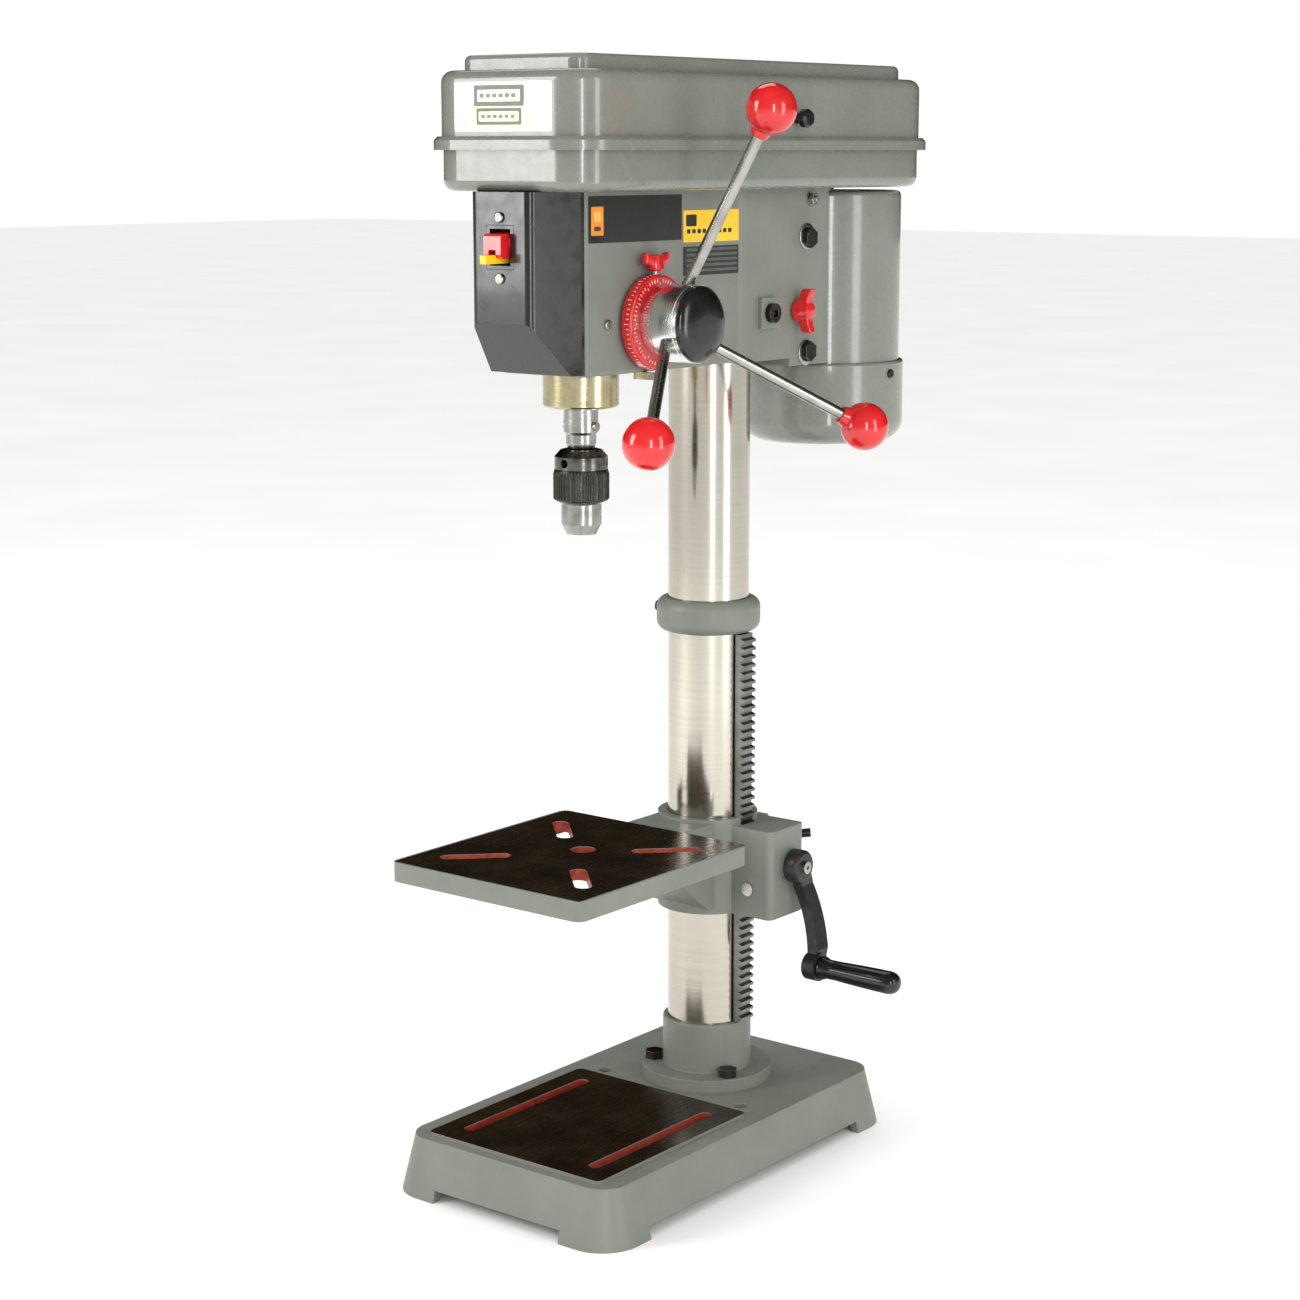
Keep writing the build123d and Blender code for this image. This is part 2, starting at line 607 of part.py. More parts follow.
def gearbox_cavities():
    gear_room = rod_y(GEAR_TIP_R + 1.2, GEARBOX_FRONT + GEARBOX_WALL,
                      GEARBOX_BACK - GEARBOX_WALL, GEAR_X, GEAR_Z)
    worm_room = rod_x(WORM_R + 1.2, RACK_TIP_X + 2, GEARBOX_OUT - 5, WORM_Y, WORM_Z)
    worm_bore = rod_x(WORM_SHAFT_R + RUN_FIT, GEARBOX_OUT - 7, GEARBOX_OUT + 5, WORM_Y, WORM_Z)
    return gear_room + worm_room + worm_bore


def table_casting():
    body = rod_z(SLEEVE_R, SLEEVE_BOTTOM, SLEEVE_TOP) + table_plate() + table_neck()
    gearbox = block(RACK_BACK, GEARBOX_OUT, GEARBOX_FRONT, GEARBOX_BACK, SLEEVE_BOTTOM,
                    TABLE_TOP - 4)
    gearbox = fillet(gearbox.edges().filter_by(Axis.Z).sort_by(Axis.X)[-2:], 5)
    body += gearbox
    body += rod_x(11, GEARBOX_OUT - 1, CRANK_HUB_X - LOOSE, WORM_Y, WORM_Z)
    for side in (-1, 1):
        ear = block(SLIT_HALF, SLIT_HALF + EAR_THICK, COLUMN_R, SLEEVE_R + EAR_REACH,
                    SLEEVE_BOTTOM + 14, TABLE_TOP - 12)
        body += ear if side > 0 else mirror(ear, Plane.YZ)
    body -= rod_z(COLUMN_R + LOOSE, SLEEVE_BOTTOM - 1, SLEEVE_TOP + 1)
    body -= block(-SLIT_HALF, SLIT_HALF, COLUMN_R - 2, SLEEVE_R + EAR_REACH + 2,
                  SLEEVE_BOTTOM - 1, SLEEVE_TOP + 1)
    body -= block(COLUMN_R - 2, RACK_TIP_X + LOOSE, -RACK_HALF_WIDTH - LOOSE,
                  RACK_HALF_WIDTH + LOOSE, SLEEVE_BOTTOM - 1, SLEEVE_TOP + 1)
    body -= gearbox_cavities()
    body -= rod_y(GEAR_PIN_R + RUN_FIT / 2, GEARBOX_FRONT - 1, GEARBOX_BACK + 1, GEAR_X, GEAR_Z)
    return body - rod_x(LOCK_BOLT_R + RUN_FIT, -20, 20, LOCK_Y, LOCK_Z)


def gear_pin():
    return rod_y(GEAR_PIN_R, GEARBOX_FRONT - 0.8, GEARBOX_BACK + 0.8, GEAR_X, GEAR_Z)


def lift_gear():
    """The wheel between the worm and the rack; a tooth gap faces the rack's first tooth."""
    outline = gear_outline(RACK_MODULE, LIFT_TEETH, 0.8, 0.85, BACKLASH)
    front = GEARBOX_FRONT + GEARBOX_WALL + LOOSE
    back = GEARBOX_BACK - GEARBOX_WALL - LOOSE
    wheel = Rot(90, 0, 0) * extrude(outline, back - front)
    to_first = RACK_BOTTOM + pi * RACK_MODULE / 2
    offset = (GEAR_Z - to_first) / LIFT_PITCH_R
    wheel = Rot(0, 180 - degrees(offset), 0) * wheel
    wheel = Pos(GEAR_X, back, GEAR_Z) * wheel
    return wheel - rod_y(GEAR_PIN_R + RUN_FIT, front - 1, back + 1, GEAR_X, GEAR_Z)


def worm_shaft():
    """The worm is drawn as a plain waisted roller that clears the wheel's tips."""
    gap = WORM_Z - GEAR_Z - GEAR_TIP_R - LOOSE
    inner = RACK_TIP_X + 3
    points = [(0, inner), (4.5, inner), (gap, GEAR_X - 5), (gap, GEAR_X + 5),
              (WORM_R, GEAR_X + 10), (WORM_R, GEARBOX_OUT - 6), (WORM_SHAFT_R, GEARBOX_OUT - 6),
              (WORM_SHAFT_R, CRANK_HUB_X + 9), (0, CRANK_HUB_X + 9)]
    return turned_x(points, WORM_Y, WORM_Z)


def crank_arm():
    hub = rod_x(CRANK_HUB_R, CRANK_HUB_X, CRANK_FACE, WORM_Y, WORM_Z)
    hub = fillet(hub.edges().filter_by(GeomType.CIRCLE).group_by(Axis.X)[-1], 3)
    foot = rod_x(CRANK_FOOT_R, CRANK_FOOT_X, GRIP_START - 0.4, WORM_Y, CRANK_LOW_Z)
    foot = fillet(foot.edges().filter_by(GeomType.CIRCLE).group_by(Axis.X)[0], 2)
    bow = ThreePointArc((WORM_Y, WORM_Z), (WORM_Y + 9, WORM_Z - 0.45 * CRANK_REACH),
                        (WORM_Y, CRANK_LOW_Z))
    web = Pos(CRANK_HUB_X, 0, 0) * extrude(Plane.YZ * trace(bow, 14), CRANK_DISH + 12)
    inner = CRANK_HUB_X + 1.5
    high = WORM_Z - CRANK_HUB_R - 4
    low = CRANK_LOW_Z + CRANK_FOOT_R
    band = Polyline((inner, WORM_Z + 20), (inner, high), (inner + CRANK_DISH, low),
                    (inner + CRANK_DISH, low - 40), (inner + CRANK_DISH + CRANK_WEB, low - 40),
                    (inner + CRANK_DISH + CRANK_WEB, low + 2), (inner + CRANK_WEB, high + 2),
                    (inner + CRANK_WEB, WORM_Z + 20), close=True)
    web &= Pos(0, WORM_Y, 0) * extrude(Plane.XZ * make_face(band), 40, both=True)
    arm = hub + foot + web
    arm += rod_x(CRANK_PIN_R, GRIP_START - 3, GRIP_START + GRIP_LENGTH - 6, WORM_Y, CRANK_LOW_Z)
    arm -= rod_x(WORM_SHAFT_R + RUN_FIT / 2, CRANK_HUB_X - 1, CRANK_HUB_X + 9 + RUN_FIT, WORM_Y,
                 WORM_Z)
    return arm - rod_x(CRANK_SCREW_R + 0.1, CRANK_HUB_X, CRANK_FACE + 2, WORM_Y, WORM_Z)


def crank_screw():
    head = rod_x(4.6, CRANK_FACE, CRANK_FACE + 2.6, WORM_Y, WORM_Z)
    shank = rod_x(CRANK_SCREW_R, CRANK_FACE - 1.9, CRANK_FACE + 1, WORM_Y, WORM_Z)
    return head + shank - hex_x(3.0, CRANK_FACE + 1, CRANK_FACE + 4, WORM_Y, WORM_Z)


def crank_grip():
    end = GRIP_START + GRIP_LENGTH
    grip = rod_x(GRIP_R, GRIP_START, end, WORM_Y, CRANK_LOW_Z)
    grip = fillet(grip.edges().filter_by(GeomType.CIRCLE).group_by(Axis.X)[-1], 3.5)
    return grip - rod_x(CRANK_PIN_R + RUN_FIT, GRIP_START - 1, end - 5, WORM_Y, CRANK_LOW_Z)


def column_lock_lever():
    cheek = SLIT_HALF + EAR_THICK
    bolt = rod_x(LOCK_BOLT_R, -cheek - 2, cheek + 7, LOCK_Y, LOCK_Z)
    nut = hex_x(3 * LOCK_BOLT_R, -cheek - 8, -cheek - LOOSE, LOCK_Y, LOCK_Z)
    boss = rod_x(LOCK_BOLT_R + 3.5, cheek + LOOSE, cheek + 11, LOCK_Y, LOCK_Z)
    root = (cheek + 7, LOCK_Y, LOCK_Z)
    arm = Solid.make_cylinder(3.4, LOCK_REACH, Plane(root, z_dir=(0.80, 0.60, 0.10)))
    return bolt + nut + boss + arm


# ---- head ---------------------------------------------------------------------------
def head_outside():
    front = block(-HEAD_HALF_WIDTH, HEAD_HALF_WIDTH, HEAD_FRONT, -10, HEAD_BOTTOM, HEAD_TOP)
    front = fillet(front.edges().filter_by(Axis.Z).sort_by(Axis.Y)[:2], HEAD_ROUND)
    front = fillet(front.edges().filter_by(Axis.Y).sort_by(Axis.Z)[:2], HEAD_ROUND)
    rear = block(-HEAD_REAR_HALF_WIDTH, HEAD_REAR_HALF_WIDTH, 0, HEAD_CHEEK_BACK,
                 HEAD_REAR_BOTTOM, HEAD_TOP)
    rear -= block(-HEAD_REAR_HALF_WIDTH - 1, HEAD_REAR_HALF_WIDTH + 1, -1,
                  HEAD_REAR_HALF_WIDTH, HEAD_REAR_BOTTOM - 1, HEAD_BOTTOM)
    inside = HEAD_REAR_HALF_WIDTH - HEAD_CHEEK
    rear -= block(-inside, inside, HEAD_WALL_BACK, HEAD_CHEEK_BACK + 1, HEAD_REAR_BOTTOM - 1,
                  HEAD_TOP + 1)
    boss = rod_z(HEAD_REAR_HALF_WIDTH, HEAD_BOTTOM, HEAD_TOP)
    return front + rear + boss


def head_casting():
    body = head_outside()
    side = HEAD_REAR_HALF_WIDTH
    body += block(side - 1, HEAD_LOCK_FACE, HEAD_LOCK_Y - HEAD_LOCK_BOSS,
                  HEAD_LOCK_Y + HEAD_LOCK_BOSS, FEED_Z - HEAD_LOCK_BOSS, FEED_Z + HEAD_LOCK_BOSS)
    body += rod_x(FEED_BOSS_R, HEAD_HALF_WIDTH - 1, DEPTH_RING_X - SEAT, FEED_Y, FEED_Z)
    body -= rod_z(COLUMN_R + RUN_FIT, HEAD_REAR_BOTTOM - 1, COLUMN_TOP + 0.2)
    body -= rod_z(QUILL_R + RUN_FIT, HEAD_BOTTOM - 1, QUILL_TOP + 2, 0, SPINDLE_Y)
    body -= rod_z(PULLEY_BEARING_R, PULLEY_BEARING_BOTTOM, HEAD_TOP + 1, 0, SPINDLE_Y)
    body -= rod_z(SPLINE_R + 3, QUILL_TOP, HEAD_TOP, 0, SPINDLE_Y)
    body -= rod_x(FEED_SHAFT_R + RUN_FIT, -side - 1, side + 1, FEED_Y, FEED_Z)
    wall = HEAD_HALF_WIDTH - HEAD_POCKET_WALL
    body -= block(-wall, wall, HEAD_POCKET_FRONT, HEAD_POCKET_BACK,
                  HEAD_BOTTOM + HEAD_POCKET_FLOOR, HEAD_TOP + 1)
    body -= rod_x(FEED_PITCH_R + 0.8 * FEED_MODULE + 0.6, -PINION_HALF - 1, PINION_HALF + 1,
                  FEED_Y, FEED_Z)
    body -= block(-26, 26, HEAD_FRONT - 1, HEAD_FRONT + SWITCH_POCKET, SWITCH_Z - 26,
                  SWITCH_Z + 26)
    for z in SLIDE_BAR_Z:
        body -= rod_y(SLIDE_BAR_R + RUN_FIT, COLUMN_R + 6, HEAD_WALL_BACK + 1, 0, z)
        body -= rod_x(BAR_BOLT_R + RUN_FIT, SLIDE_BAR_R, side + 1, BAR_BOLT_Y, z)
    thick = TONGUE_HALF_THICK + LOOSE
    high = TONGUE_HALF_HEIGHT + LOOSE
    body -= block(TONGUE_X - thick, TONGUE_X + thick, COLUMN_R + 10, HEAD_WALL_BACK + 1,
                  FEED_Z - high, FEED_Z + high)
    body -= rod_x(KNOB_SCREW_R + RUN_FIT, TONGUE_X, side + 5, TENSION_Y, FEED_Z)
    body -= rod_x(HEAD_LOCK_R + RUN_FIT, COLUMN_R - 8, side + 6, HEAD_LOCK_Y, FEED_Z)
    body -= rod_x(COVER_SCREW_R + RUN_FIT, HEAD_HALF_WIDTH - 10, HEAD_HALF_WIDTH + 1,
                  SIDE_SCREW_Y, FEED_Z)
    for x, y in tray_screw_places():
        body -= rod_z(TRAY_SCREW_R + RUN_FIT, HEAD_TOP - 12, HEAD_TOP + 1, x, y)
    return body - rod_x(GLAND_R + RUN_FIT, -side - 1, -side + 8, GLAND_Y, GLAND_Z)


def tray_screw_places():
    ends = (SPINDLE_Y + 32, HEAD_WALL_BACK - 18)
    return [(x, y) for x in (-TRAY_SCREW_X, TRAY_SCREW_X) for y in ends]


def quill_guide_ring():
    ring = rod_z(RING_R, RING_BOTTOM, HEAD_BOTTOM, 0, SPINDLE_Y)
    ring = chamfer(ring.edges().filter_by(GeomType.CIRCLE).group_by(Axis.Z)[0], 1.2)
    return ring - rod_z(QUILL_R + RUN_FIT, RING_BOTTOM - 1, HEAD_BOTTOM + 1, 0, SPINDLE_Y)


def head_lock_screw():
    face = HEAD_LOCK_FACE
    shank = rod_x(HEAD_LOCK_R, COLUMN_R - 6, face + 1, HEAD_LOCK_Y, FEED_Z)
    trimmed = shank - rod_z(COLUMN_R + 0.1, FEED_Z - 10, FEED_Z + 10)
    head = rod_x(HEAD_LOCK_R + 2, face, face + 4.5, HEAD_LOCK_Y, FEED_Z)
    return trimmed + head - hex_x(6, face + 1, face + 6, HEAD_LOCK_Y, FEED_Z)


def bar_lock_bolts():
    bolts = []
    face = HEAD_REAR_HALF_WIDTH
    for z in SLIDE_BAR_Z:
        bolt = rod_x(BAR_BOLT_R, SLIDE_BAR_R + 0.1, face + 1, BAR_BOLT_Y, z)
        bolts.append(bolt + hex_x(BAR_BOLT_FLATS, face, face + 5.5, BAR_BOLT_Y, z))
    return bolts


def tension_knob():
    """A wing knob on a screw that pinches the motor's slide tongue."""
    face = HEAD_REAR_HALF_WIDTH
    tongue_face = TONGUE_X + TONGUE_HALF_THICK
    screw = rod_x(KNOB_SCREW_R, tongue_face + LOOSE, face + 10, TENSION_Y, FEED_Z)
    boss = rod_x(7.5, face + LOOSE, face + 11, TENSION_Y, FEED_Z)
    wing = block(face + 4, face + 16, TENSION_Y - 3.5, TENSION_Y + 3.5, FEED_Z - 16, FEED_Z + 16)
    wing = fillet(wing.edges().filter_by(Axis.Y).sort_by(Axis.X)[-2:], 5)
    wing = fillet(wing.edges().filter_by(Axis.Y).sort_by(Axis.X)[:2], 4)
    return screw + boss + wing


def cover_plan(shrink):
    """Half-octagon plan of the front cover, open at the back."""
    wide = HEAD_HALF_WIDTH - shrink
    narrow = COVER_HALF_WIDTH - 0.6 * shrink
    front = COVER_FRONT + shrink
    return Polyline((-wide, HEAD_FRONT), (-wide, HEAD_FRONT - 3), (-narrow, front),
                    (narrow, front), (wide, HEAD_FRONT - 3), (wide, HEAD_FRONT), close=True)


def switch_cover():
    outside = extrude(Pos(0, 0, COVER_BOTTOM) * make_face(cover_plan(0)), HEAD_TOP - COVER_BOTTOM)
    outside = fillet(outside.edges().filter_by(Axis.Z).group_by(Axis.Y)[0], 6)
    inside = extrude(Pos(0, 0, COVER_BOTTOM + COVER_WALL) * make_face(cover_plan(COVER_WALL)),
                     HEAD_TOP - COVER_BOTTOM - 2 * COVER_WALL)
    wedge = Polyline((COVER_FRONT - 1, COVER_CHAMFER_Z), (COVER_CHAMFER_Y, COVER_BOTTOM - 1),
                     (COVER_FRONT - 1, COVER_BOTTOM - 1), close=True)
    inner_wedge = Polyline((COVER_FRONT - 1, COVER_CHAMFER_Z + 5),
                           (COVER_CHAMFER_Y + 4, COVER_BOTTOM - 1),
                           (COVER_FRONT - 1, COVER_BOTTOM - 1), close=True)
    outside -= extrude(Plane.YZ * make_face(wedge), 60, both=True)
    inside -= extrude(Plane.YZ * make_face(inner_wedge), 60, both=True)
    body = outside - inside
    body -= block(-SWITCH_HALF_W, SWITCH_HALF_W, COVER_FRONT - 1, COVER_FRONT + COVER_WALL + 1,
                  SWITCH_Z - SWITCH_HALF_H, SWITCH_Z + SWITCH_HALF_H)
    for z in cover_screw_heights():
        body -= rod_y(COVER_SCREW_R + RUN_FIT, COVER_FRONT - 1, COVER_FRONT + COVER_WALL + 1, 0, z)
    return body


def cover_screw_heights():
    return (SWITCH_Z + SWITCH_HALF_H + 5, SWITCH_Z - SWITCH_HALF_H - 6)


def pan_screw(x, y, z, turn):
    """A small pan-head screw with a cross slot; its head points along the turned +Z."""
    screw = rod_z(COVER_SCREW_HEAD_R, 0, 2.0) + rod_z(COVER_SCREW_R, -8, 0.5)
    screw = fillet(screw.edges().filter_by(GeomType.CIRCLE).group_by(Axis.Z)[-1], 1.1)
    screw -= block(-2.4, 2.4, -0.4, 0.4, 1.2, 3) + block(-0.4, 0.4, -2.4, 2.4, 1.2, 3)
    return Pos(x, y, z) * turn * screw


def cover_screws():
    screws = [pan_screw(0, COVER_FRONT, z, Rot(90, 0, 0)) for z in cover_screw_heights()]
    screws.append(pan_screw(HEAD_HALF_WIDTH, SIDE_SCREW_Y, FEED_Z, Rot(0, 90, 0)))
    return screws


def switch_body():
    """The switch module behind the cover, with the pocket that its paddle and key move in."""
    half_w = SWITCH_HALF_W - 0.2
    half_h = SWITCH_HALF_H - 0.2
    body = block(-half_w, half_w, COVER_FRONT, HEAD_FRONT + SWITCH_POCKET - 1,
                 SWITCH_Z - half_h, SWITCH_Z + half_h)
    body -= block(-9, 9, COVER_FRONT - 1, COVER_FRONT + 14, SWITCH_Z - 12, SWITCH_Z + 12)
    body -= rod_x(PADDLE_PIN_R + RUN_FIT, -11, 11, PADDLE_PIVOT_Y, PADDLE_PIVOT_Z)
    key_half = KEY_HALF_W + LOOSE
    return body - block(-key_half, key_half, COVER_FRONT, COVER_FRONT + 22,
                        SWITCH_Z - KEY_BOTTOM_DROP - LOOSE, SWITCH_Z - KEY_TOP_DROP + LOOSE)


def switch_paddle():
    rocker = rod_x(6.4, -8.5, 8.5, PADDLE_PIVOT_Y, PADDLE_PIVOT_Z)
    lever = block(-7.5, 7.5, COVER_FRONT - 8, PADDLE_PIVOT_Y, SWITCH_Z - 7, SWITCH_Z + 9)
    rocker += fillet(lever.edges().filter_by(Axis.X).sort_by(Axis.Y)[:2], 2.5)
    rocker += rod_x(PADDLE_PIN_R, -10.8, 10.8, PADDLE_PIVOT_Y, PADDLE_PIVOT_Z)
    return rocker - block(-3.2, 3.2, COVER_FRONT - 20, COVER_FRONT + 20, SWITCH_Z - 9,
                          SWITCH_Z - 1.5)


def switch_key():
    """The pull-out safety key under the paddle."""
    return block(-KEY_HALF_W, KEY_HALF_W, COVER_FRONT - 17, COVER_FRONT + 20,
                 SWITCH_Z - KEY_BOTTOM_DROP, SWITCH_Z - KEY_TOP_DROP)


def depth_pointer():
    """The stop below the ring that its scale is read against."""
    return block(HEAD_HALF_WIDTH - 10, DEPTH_RING_END, FEED_Y - 3, FEED_Y + 3, HEAD_BOTTOM - 5,
                 HEAD_BOTTOM)


def spring_cap():
    cap = rod_x(SPRING_CAP_R, SPRING_CAP_END, -HEAD_HALF_WIDTH, FEED_Y, FEED_Z)
    cap = fillet(cap.edges().filter_by(GeomType.CIRCLE).group_by(Axis.X)[0], 3)
    cap -= rod_x(SPRING_CAP_R - SPRING_CAP_WALL, SPRING_CAP_END + SPRING_CAP_WALL,
                 -HEAD_HALF_WIDTH + 1, FEED_Y, FEED_Z)
    return cap - rod_x(SPRING_STUB_R + LOOSE, SPRING_CAP_END - 1, SPRING_CAP_END + 3, FEED_Y,
                       FEED_Z)


def return_spring():
    """A flat clock spring: half turns whose radius grows by half a pitch each."""
    inner = FEED_SHAFT_R + 1.0
    room = SPRING_CAP_R - SPRING_CAP_WALL - inner - 1.5
    arcs = []
    for half in range(2 * int(room / SPRING_PITCH)):
        radius = inner + half * SPRING_PITCH / 2 + SPRING_PITCH / 4
        centre = (SPRING_PITCH / 4) * (1 if half % 2 == 0 else -1)
        start = 0 if half % 2 == 0 else 180
        arcs.append(CenterArc((centre, 0), radius, start, 180))
    band = extrude(trace(arcs, SPRING_THICK), SPRING_CAP_DEPTH - 8)
    return Pos(SPRING_CAP_END + 4, FEED_Y, FEED_Z) * Rot(0, 90, 0) * band


# ---- quill, spindle and chuck -------------------------------------------------------
def quill():
    body = rod_z(QUILL_R, QUILL_BOTTOM, QUILL_TOP, 0, SPINDLE_Y)
    length = QUILL_STROKE + 42
    outline = rack_outline(FEED_MODULE, length, -QUILL_R - 10, RACK_ADDENDUM, RACK_DEDENDUM,
                           BACKLASH)
    teeth = Rot(0, 0, 90) * (Plane.XZ * outline)
    teeth = Pos(-PINION_HALF, SPINDLE_Y + QUILL_RACK_PLANE, QUILL_RACK_START) * extrude(
        teeth, 2 * PINION_HALF)
    flat = block(-PINION_HALF, PINION_HALF, SPINDLE_Y + QUILL_RACK_PLANE - 4,
                 SPINDLE_Y + QUILL_R + 1, QUILL_RACK_START, QUILL_RACK_START + length)
    body -= flat - teeth
    body -= rod_z(SPINDLE_R + 1.2, QUILL_BOTTOM - 1, QUILL_TOP + 1, 0, SPINDLE_Y)
    for z in (QUILL_BOTTOM, QUILL_TOP - BEARING_WIDTH):
        body -= rod_z(BEARING_R + RUN_FIT / 2, z - 0.01, z + BEARING_WIDTH + 0.01, 0, SPINDLE_Y)
    return body


def quill_bearings():
    rings = []
    for z in (QUILL_BOTTOM, QUILL_TOP - BEARING_WIDTH):
        ring = rod_z(BEARING_R, z, z + BEARING_WIDTH, 0, SPINDLE_Y)
        rings.append(ring - rod_z(SPINDLE_R + RUN_FIT, z - 1, z + BEARING_WIDTH + 1, 0, SPINDLE_Y))
    return rings


def spindle():
    """Nose with a stub taper for the chuck, bearing seats and a long drive spline."""
    top = PULLEY_TOP - 6
    points = [(0, CHUCK_TOP - TAPER_LENGTH), (TAPER_LOW_R, CHUCK_TOP - TAPER_LENGTH),
              (TAPER_HIGH_R, CHUCK_TOP), (9.5, CHUCK_TOP + 1),
              (NOSE_R - 1.5, CHUCK_TOP + 4), (NOSE_R - 1.5, CHUCK_TOP + 10),
              (NOSE_R, CHUCK_TOP + 12), (NOSE_R, QUILL_BOTTOM - 1), (SPINDLE_R, QUILL_BOTTOM - 1),
              (SPINDLE_R, QUILL_TOP + 1), (SPLINE_R, QUILL_TOP + 3), (SPLINE_R, top - 1),
              (SPLINE_R - 1, top), (0, top)]
    body = turned(points, 0, SPINDLE_Y)
    body += rod_x(3.0, -NOSE_R - 2.5, NOSE_R + 2.5, SPINDLE_Y, CHUCK_TOP + 16)
    return body


def jaw_line(turn):
    """Foot point and direction of a jaw's bore, at the given turn about the spindle."""
    c = cos(radians(turn))
    s = sin(radians(turn))
    lean = radians(JAW_TILT)
    foot = (JAW_OPEN_R * c, SPINDLE_Y + JAW_OPEN_R * s, CHUCK_BOTTOM + 0.5)
    return foot, (sin(lean) * c, sin(lean) * s, cos(lean))


def chuck_jaw(turn):
    foot, along = jaw_line(turn)
    rod = Solid.make_cylinder(JAW_R, JAW_LENGTH, Plane(foot, z_dir=along))
    return chamfer(rod.edges().sort_by(Axis.Z)[0], 0.8)


def chuck_body():
    top = CHUCK_TOP
    core = CHUCK_SLEEVE_R - CHUCK_SLEEVE_WALL
    points = [(0, CHUCK_BOTTOM), (CHUCK_TIP_R, CHUCK_BOTTOM), (CHUCK_NOSE_R, CHUCK_BOTTOM + 7),
              (CHUCK_NOSE_R, CHUCK_SLEEVE_BOTTOM - 2), (core, CHUCK_SLEEVE_BOTTOM),
              (core, CHUCK_SLEEVE_TOP), (CHUCK_R, CHUCK_SLEEVE_TOP + LOOSE), (CHUCK_R, top - 5),
              (CHUCK_R - 4, top - 0.5), (CHUCK_R - 6, top), (0, top)]
    body = turned(points, 0, SPINDLE_Y)
    socket = [(0, top - TAPER_LENGTH - 1), (TAPER_LOW_R, top - TAPER_LENGTH),
              (TAPER_HIGH_R, top), (TAPER_HIGH_R + 0.02, top + 1), (0, top + 1)]
    body -= turned(socket, 0, SPINDLE_Y)
    body -= rod_z(CHUCK_BORE_R, CHUCK_BOTTOM - 1, CHUCK_BOTTOM + 24, 0, SPINDLE_Y)
    for turn in JAW_TURNS:
        foot, along = jaw_line(turn)
        start = Vector(*foot) - Vector(*along) * 6
        body -= Solid.make_cylinder(JAW_R + LOOSE, JAW_LENGTH + 8, Plane(start, z_dir=along))
        out = Vector(cos(radians(turn + 60)), sin(radians(turn + 60)), 0)
        key_mouth = Vector(0, SPINDLE_Y, CHUCK_SLEEVE_TOP + 5) + out * 12
        body -= Solid.make_cylinder(KEY_HOLE_R, 8, Plane(key_mouth, x_dir=(0, 0, 1), z_dir=out))
    return body


def chuck_sleeve():
    """A knurled ring with a row of key teeth on its upper edge."""
    inner = CHUCK_SLEEVE_R - CHUCK_SLEEVE_WALL + LOOSE
    points = []
    for i in range(2 * CHUCK_FLUTES):
        radius = CHUCK_SLEEVE_R if i % 2 == 0 else CHUCK_SLEEVE_R - 0.7
        turn = pi * i / CHUCK_FLUTES
        points.append((radius * cos(turn), radius * sin(turn)))
    knurl = make_face(Polyline(*points, close=True))
    height = CHUCK_SLEEVE_TOP - CHUCK_SLEEVE_BOTTOM - LOOSE
    ring = Pos(0, SPINDLE_Y, CHUCK_SLEEVE_BOTTOM + LOOSE) * extrude(knurl, height)
    mask = turned([(0, CHUCK_SLEEVE_BOTTOM), (CHUCK_SLEEVE_R - 1.6, CHUCK_SLEEVE_BOTTOM),
                   (CHUCK_SLEEVE_R, CHUCK_SLEEVE_BOTTOM + 1.8), (CHUCK_SLEEVE_R, CHUCK_SLEEVE_TOP - 3),
                   (CHUCK_SLEEVE_R - 0.9, CHUCK_SLEEVE_TOP), (0, CHUCK_SLEEVE_TOP)], 0, SPINDLE_Y)
    ring &= mask
    return ring - rod_z(inner, CHUCK_SLEEVE_BOTTOM - 1, CHUCK_SLEEVE_TOP + 1, 0, SPINDLE_Y)


# ---- feed handle --------------------------------------------------------------------
def feed_shaft():
    """The pinion shaft: cross shaft through the head with the pinion cut into it."""
    left = SPRING_CAP_END - 7
    shaft = rod_x(FEED_SHAFT_R, -HEAD_HALF_WIDTH - 6, HUB_END, FEED_Y, FEED_Z)
    shaft += rod_x(SPRING_STUB_R, left, -HEAD_HALF_WIDTH, FEED_Y, FEED_Z)
    shaft += hex_x(13, left, left + 6, FEED_Y, FEED_Z)
    shaft -= rod_x(FEED_SHAFT_R + 2, -PINION_HALF, PINION_HALF, FEED_Y, FEED_Z)
    outline = gear_outline(FEED_MODULE, FEED_TEETH, 0.8, 0.85, BACKLASH)
    pinion = extrude(outline, 2 * PINION_HALF)
    to_first = QUILL_RACK_START + pi * FEED_MODULE / 2
    offset = degrees((FEED_Z - to_first) / FEED_PITCH_R)
    pinion = Rot(0, 90, 0) * Rot(0, 0, 270 + offset) * pinion
    return shaft + Pos(-PINION_HALF, FEED_Y, FEED_Z) * pinion


def spoke_frame(index):
    angle = radians(FIRST_SPOKE_ANGLE + 360 / SPOKE_COUNT * index)
    out = Vector(0, sin(angle), cos(angle))
    centre = Vector(0, FEED_Y, FEED_Z)
    ball = centre + Vector(BALL_X, 0, 0) + out * BALL_REACH
    root = centre + Vector(SPOKE_ROOT_X, 0, 0) + out * SPOKE_ROOT_R
    return root, ball


def spoke_rod(index, radius, start, end):
    root, ball = spoke_frame(index)
    along = (ball - root).normalized()
    length = (ball - root).length
    return Solid.make_cylinder(radius, length - end - start, Plane(root + along * start, z_dir=along))


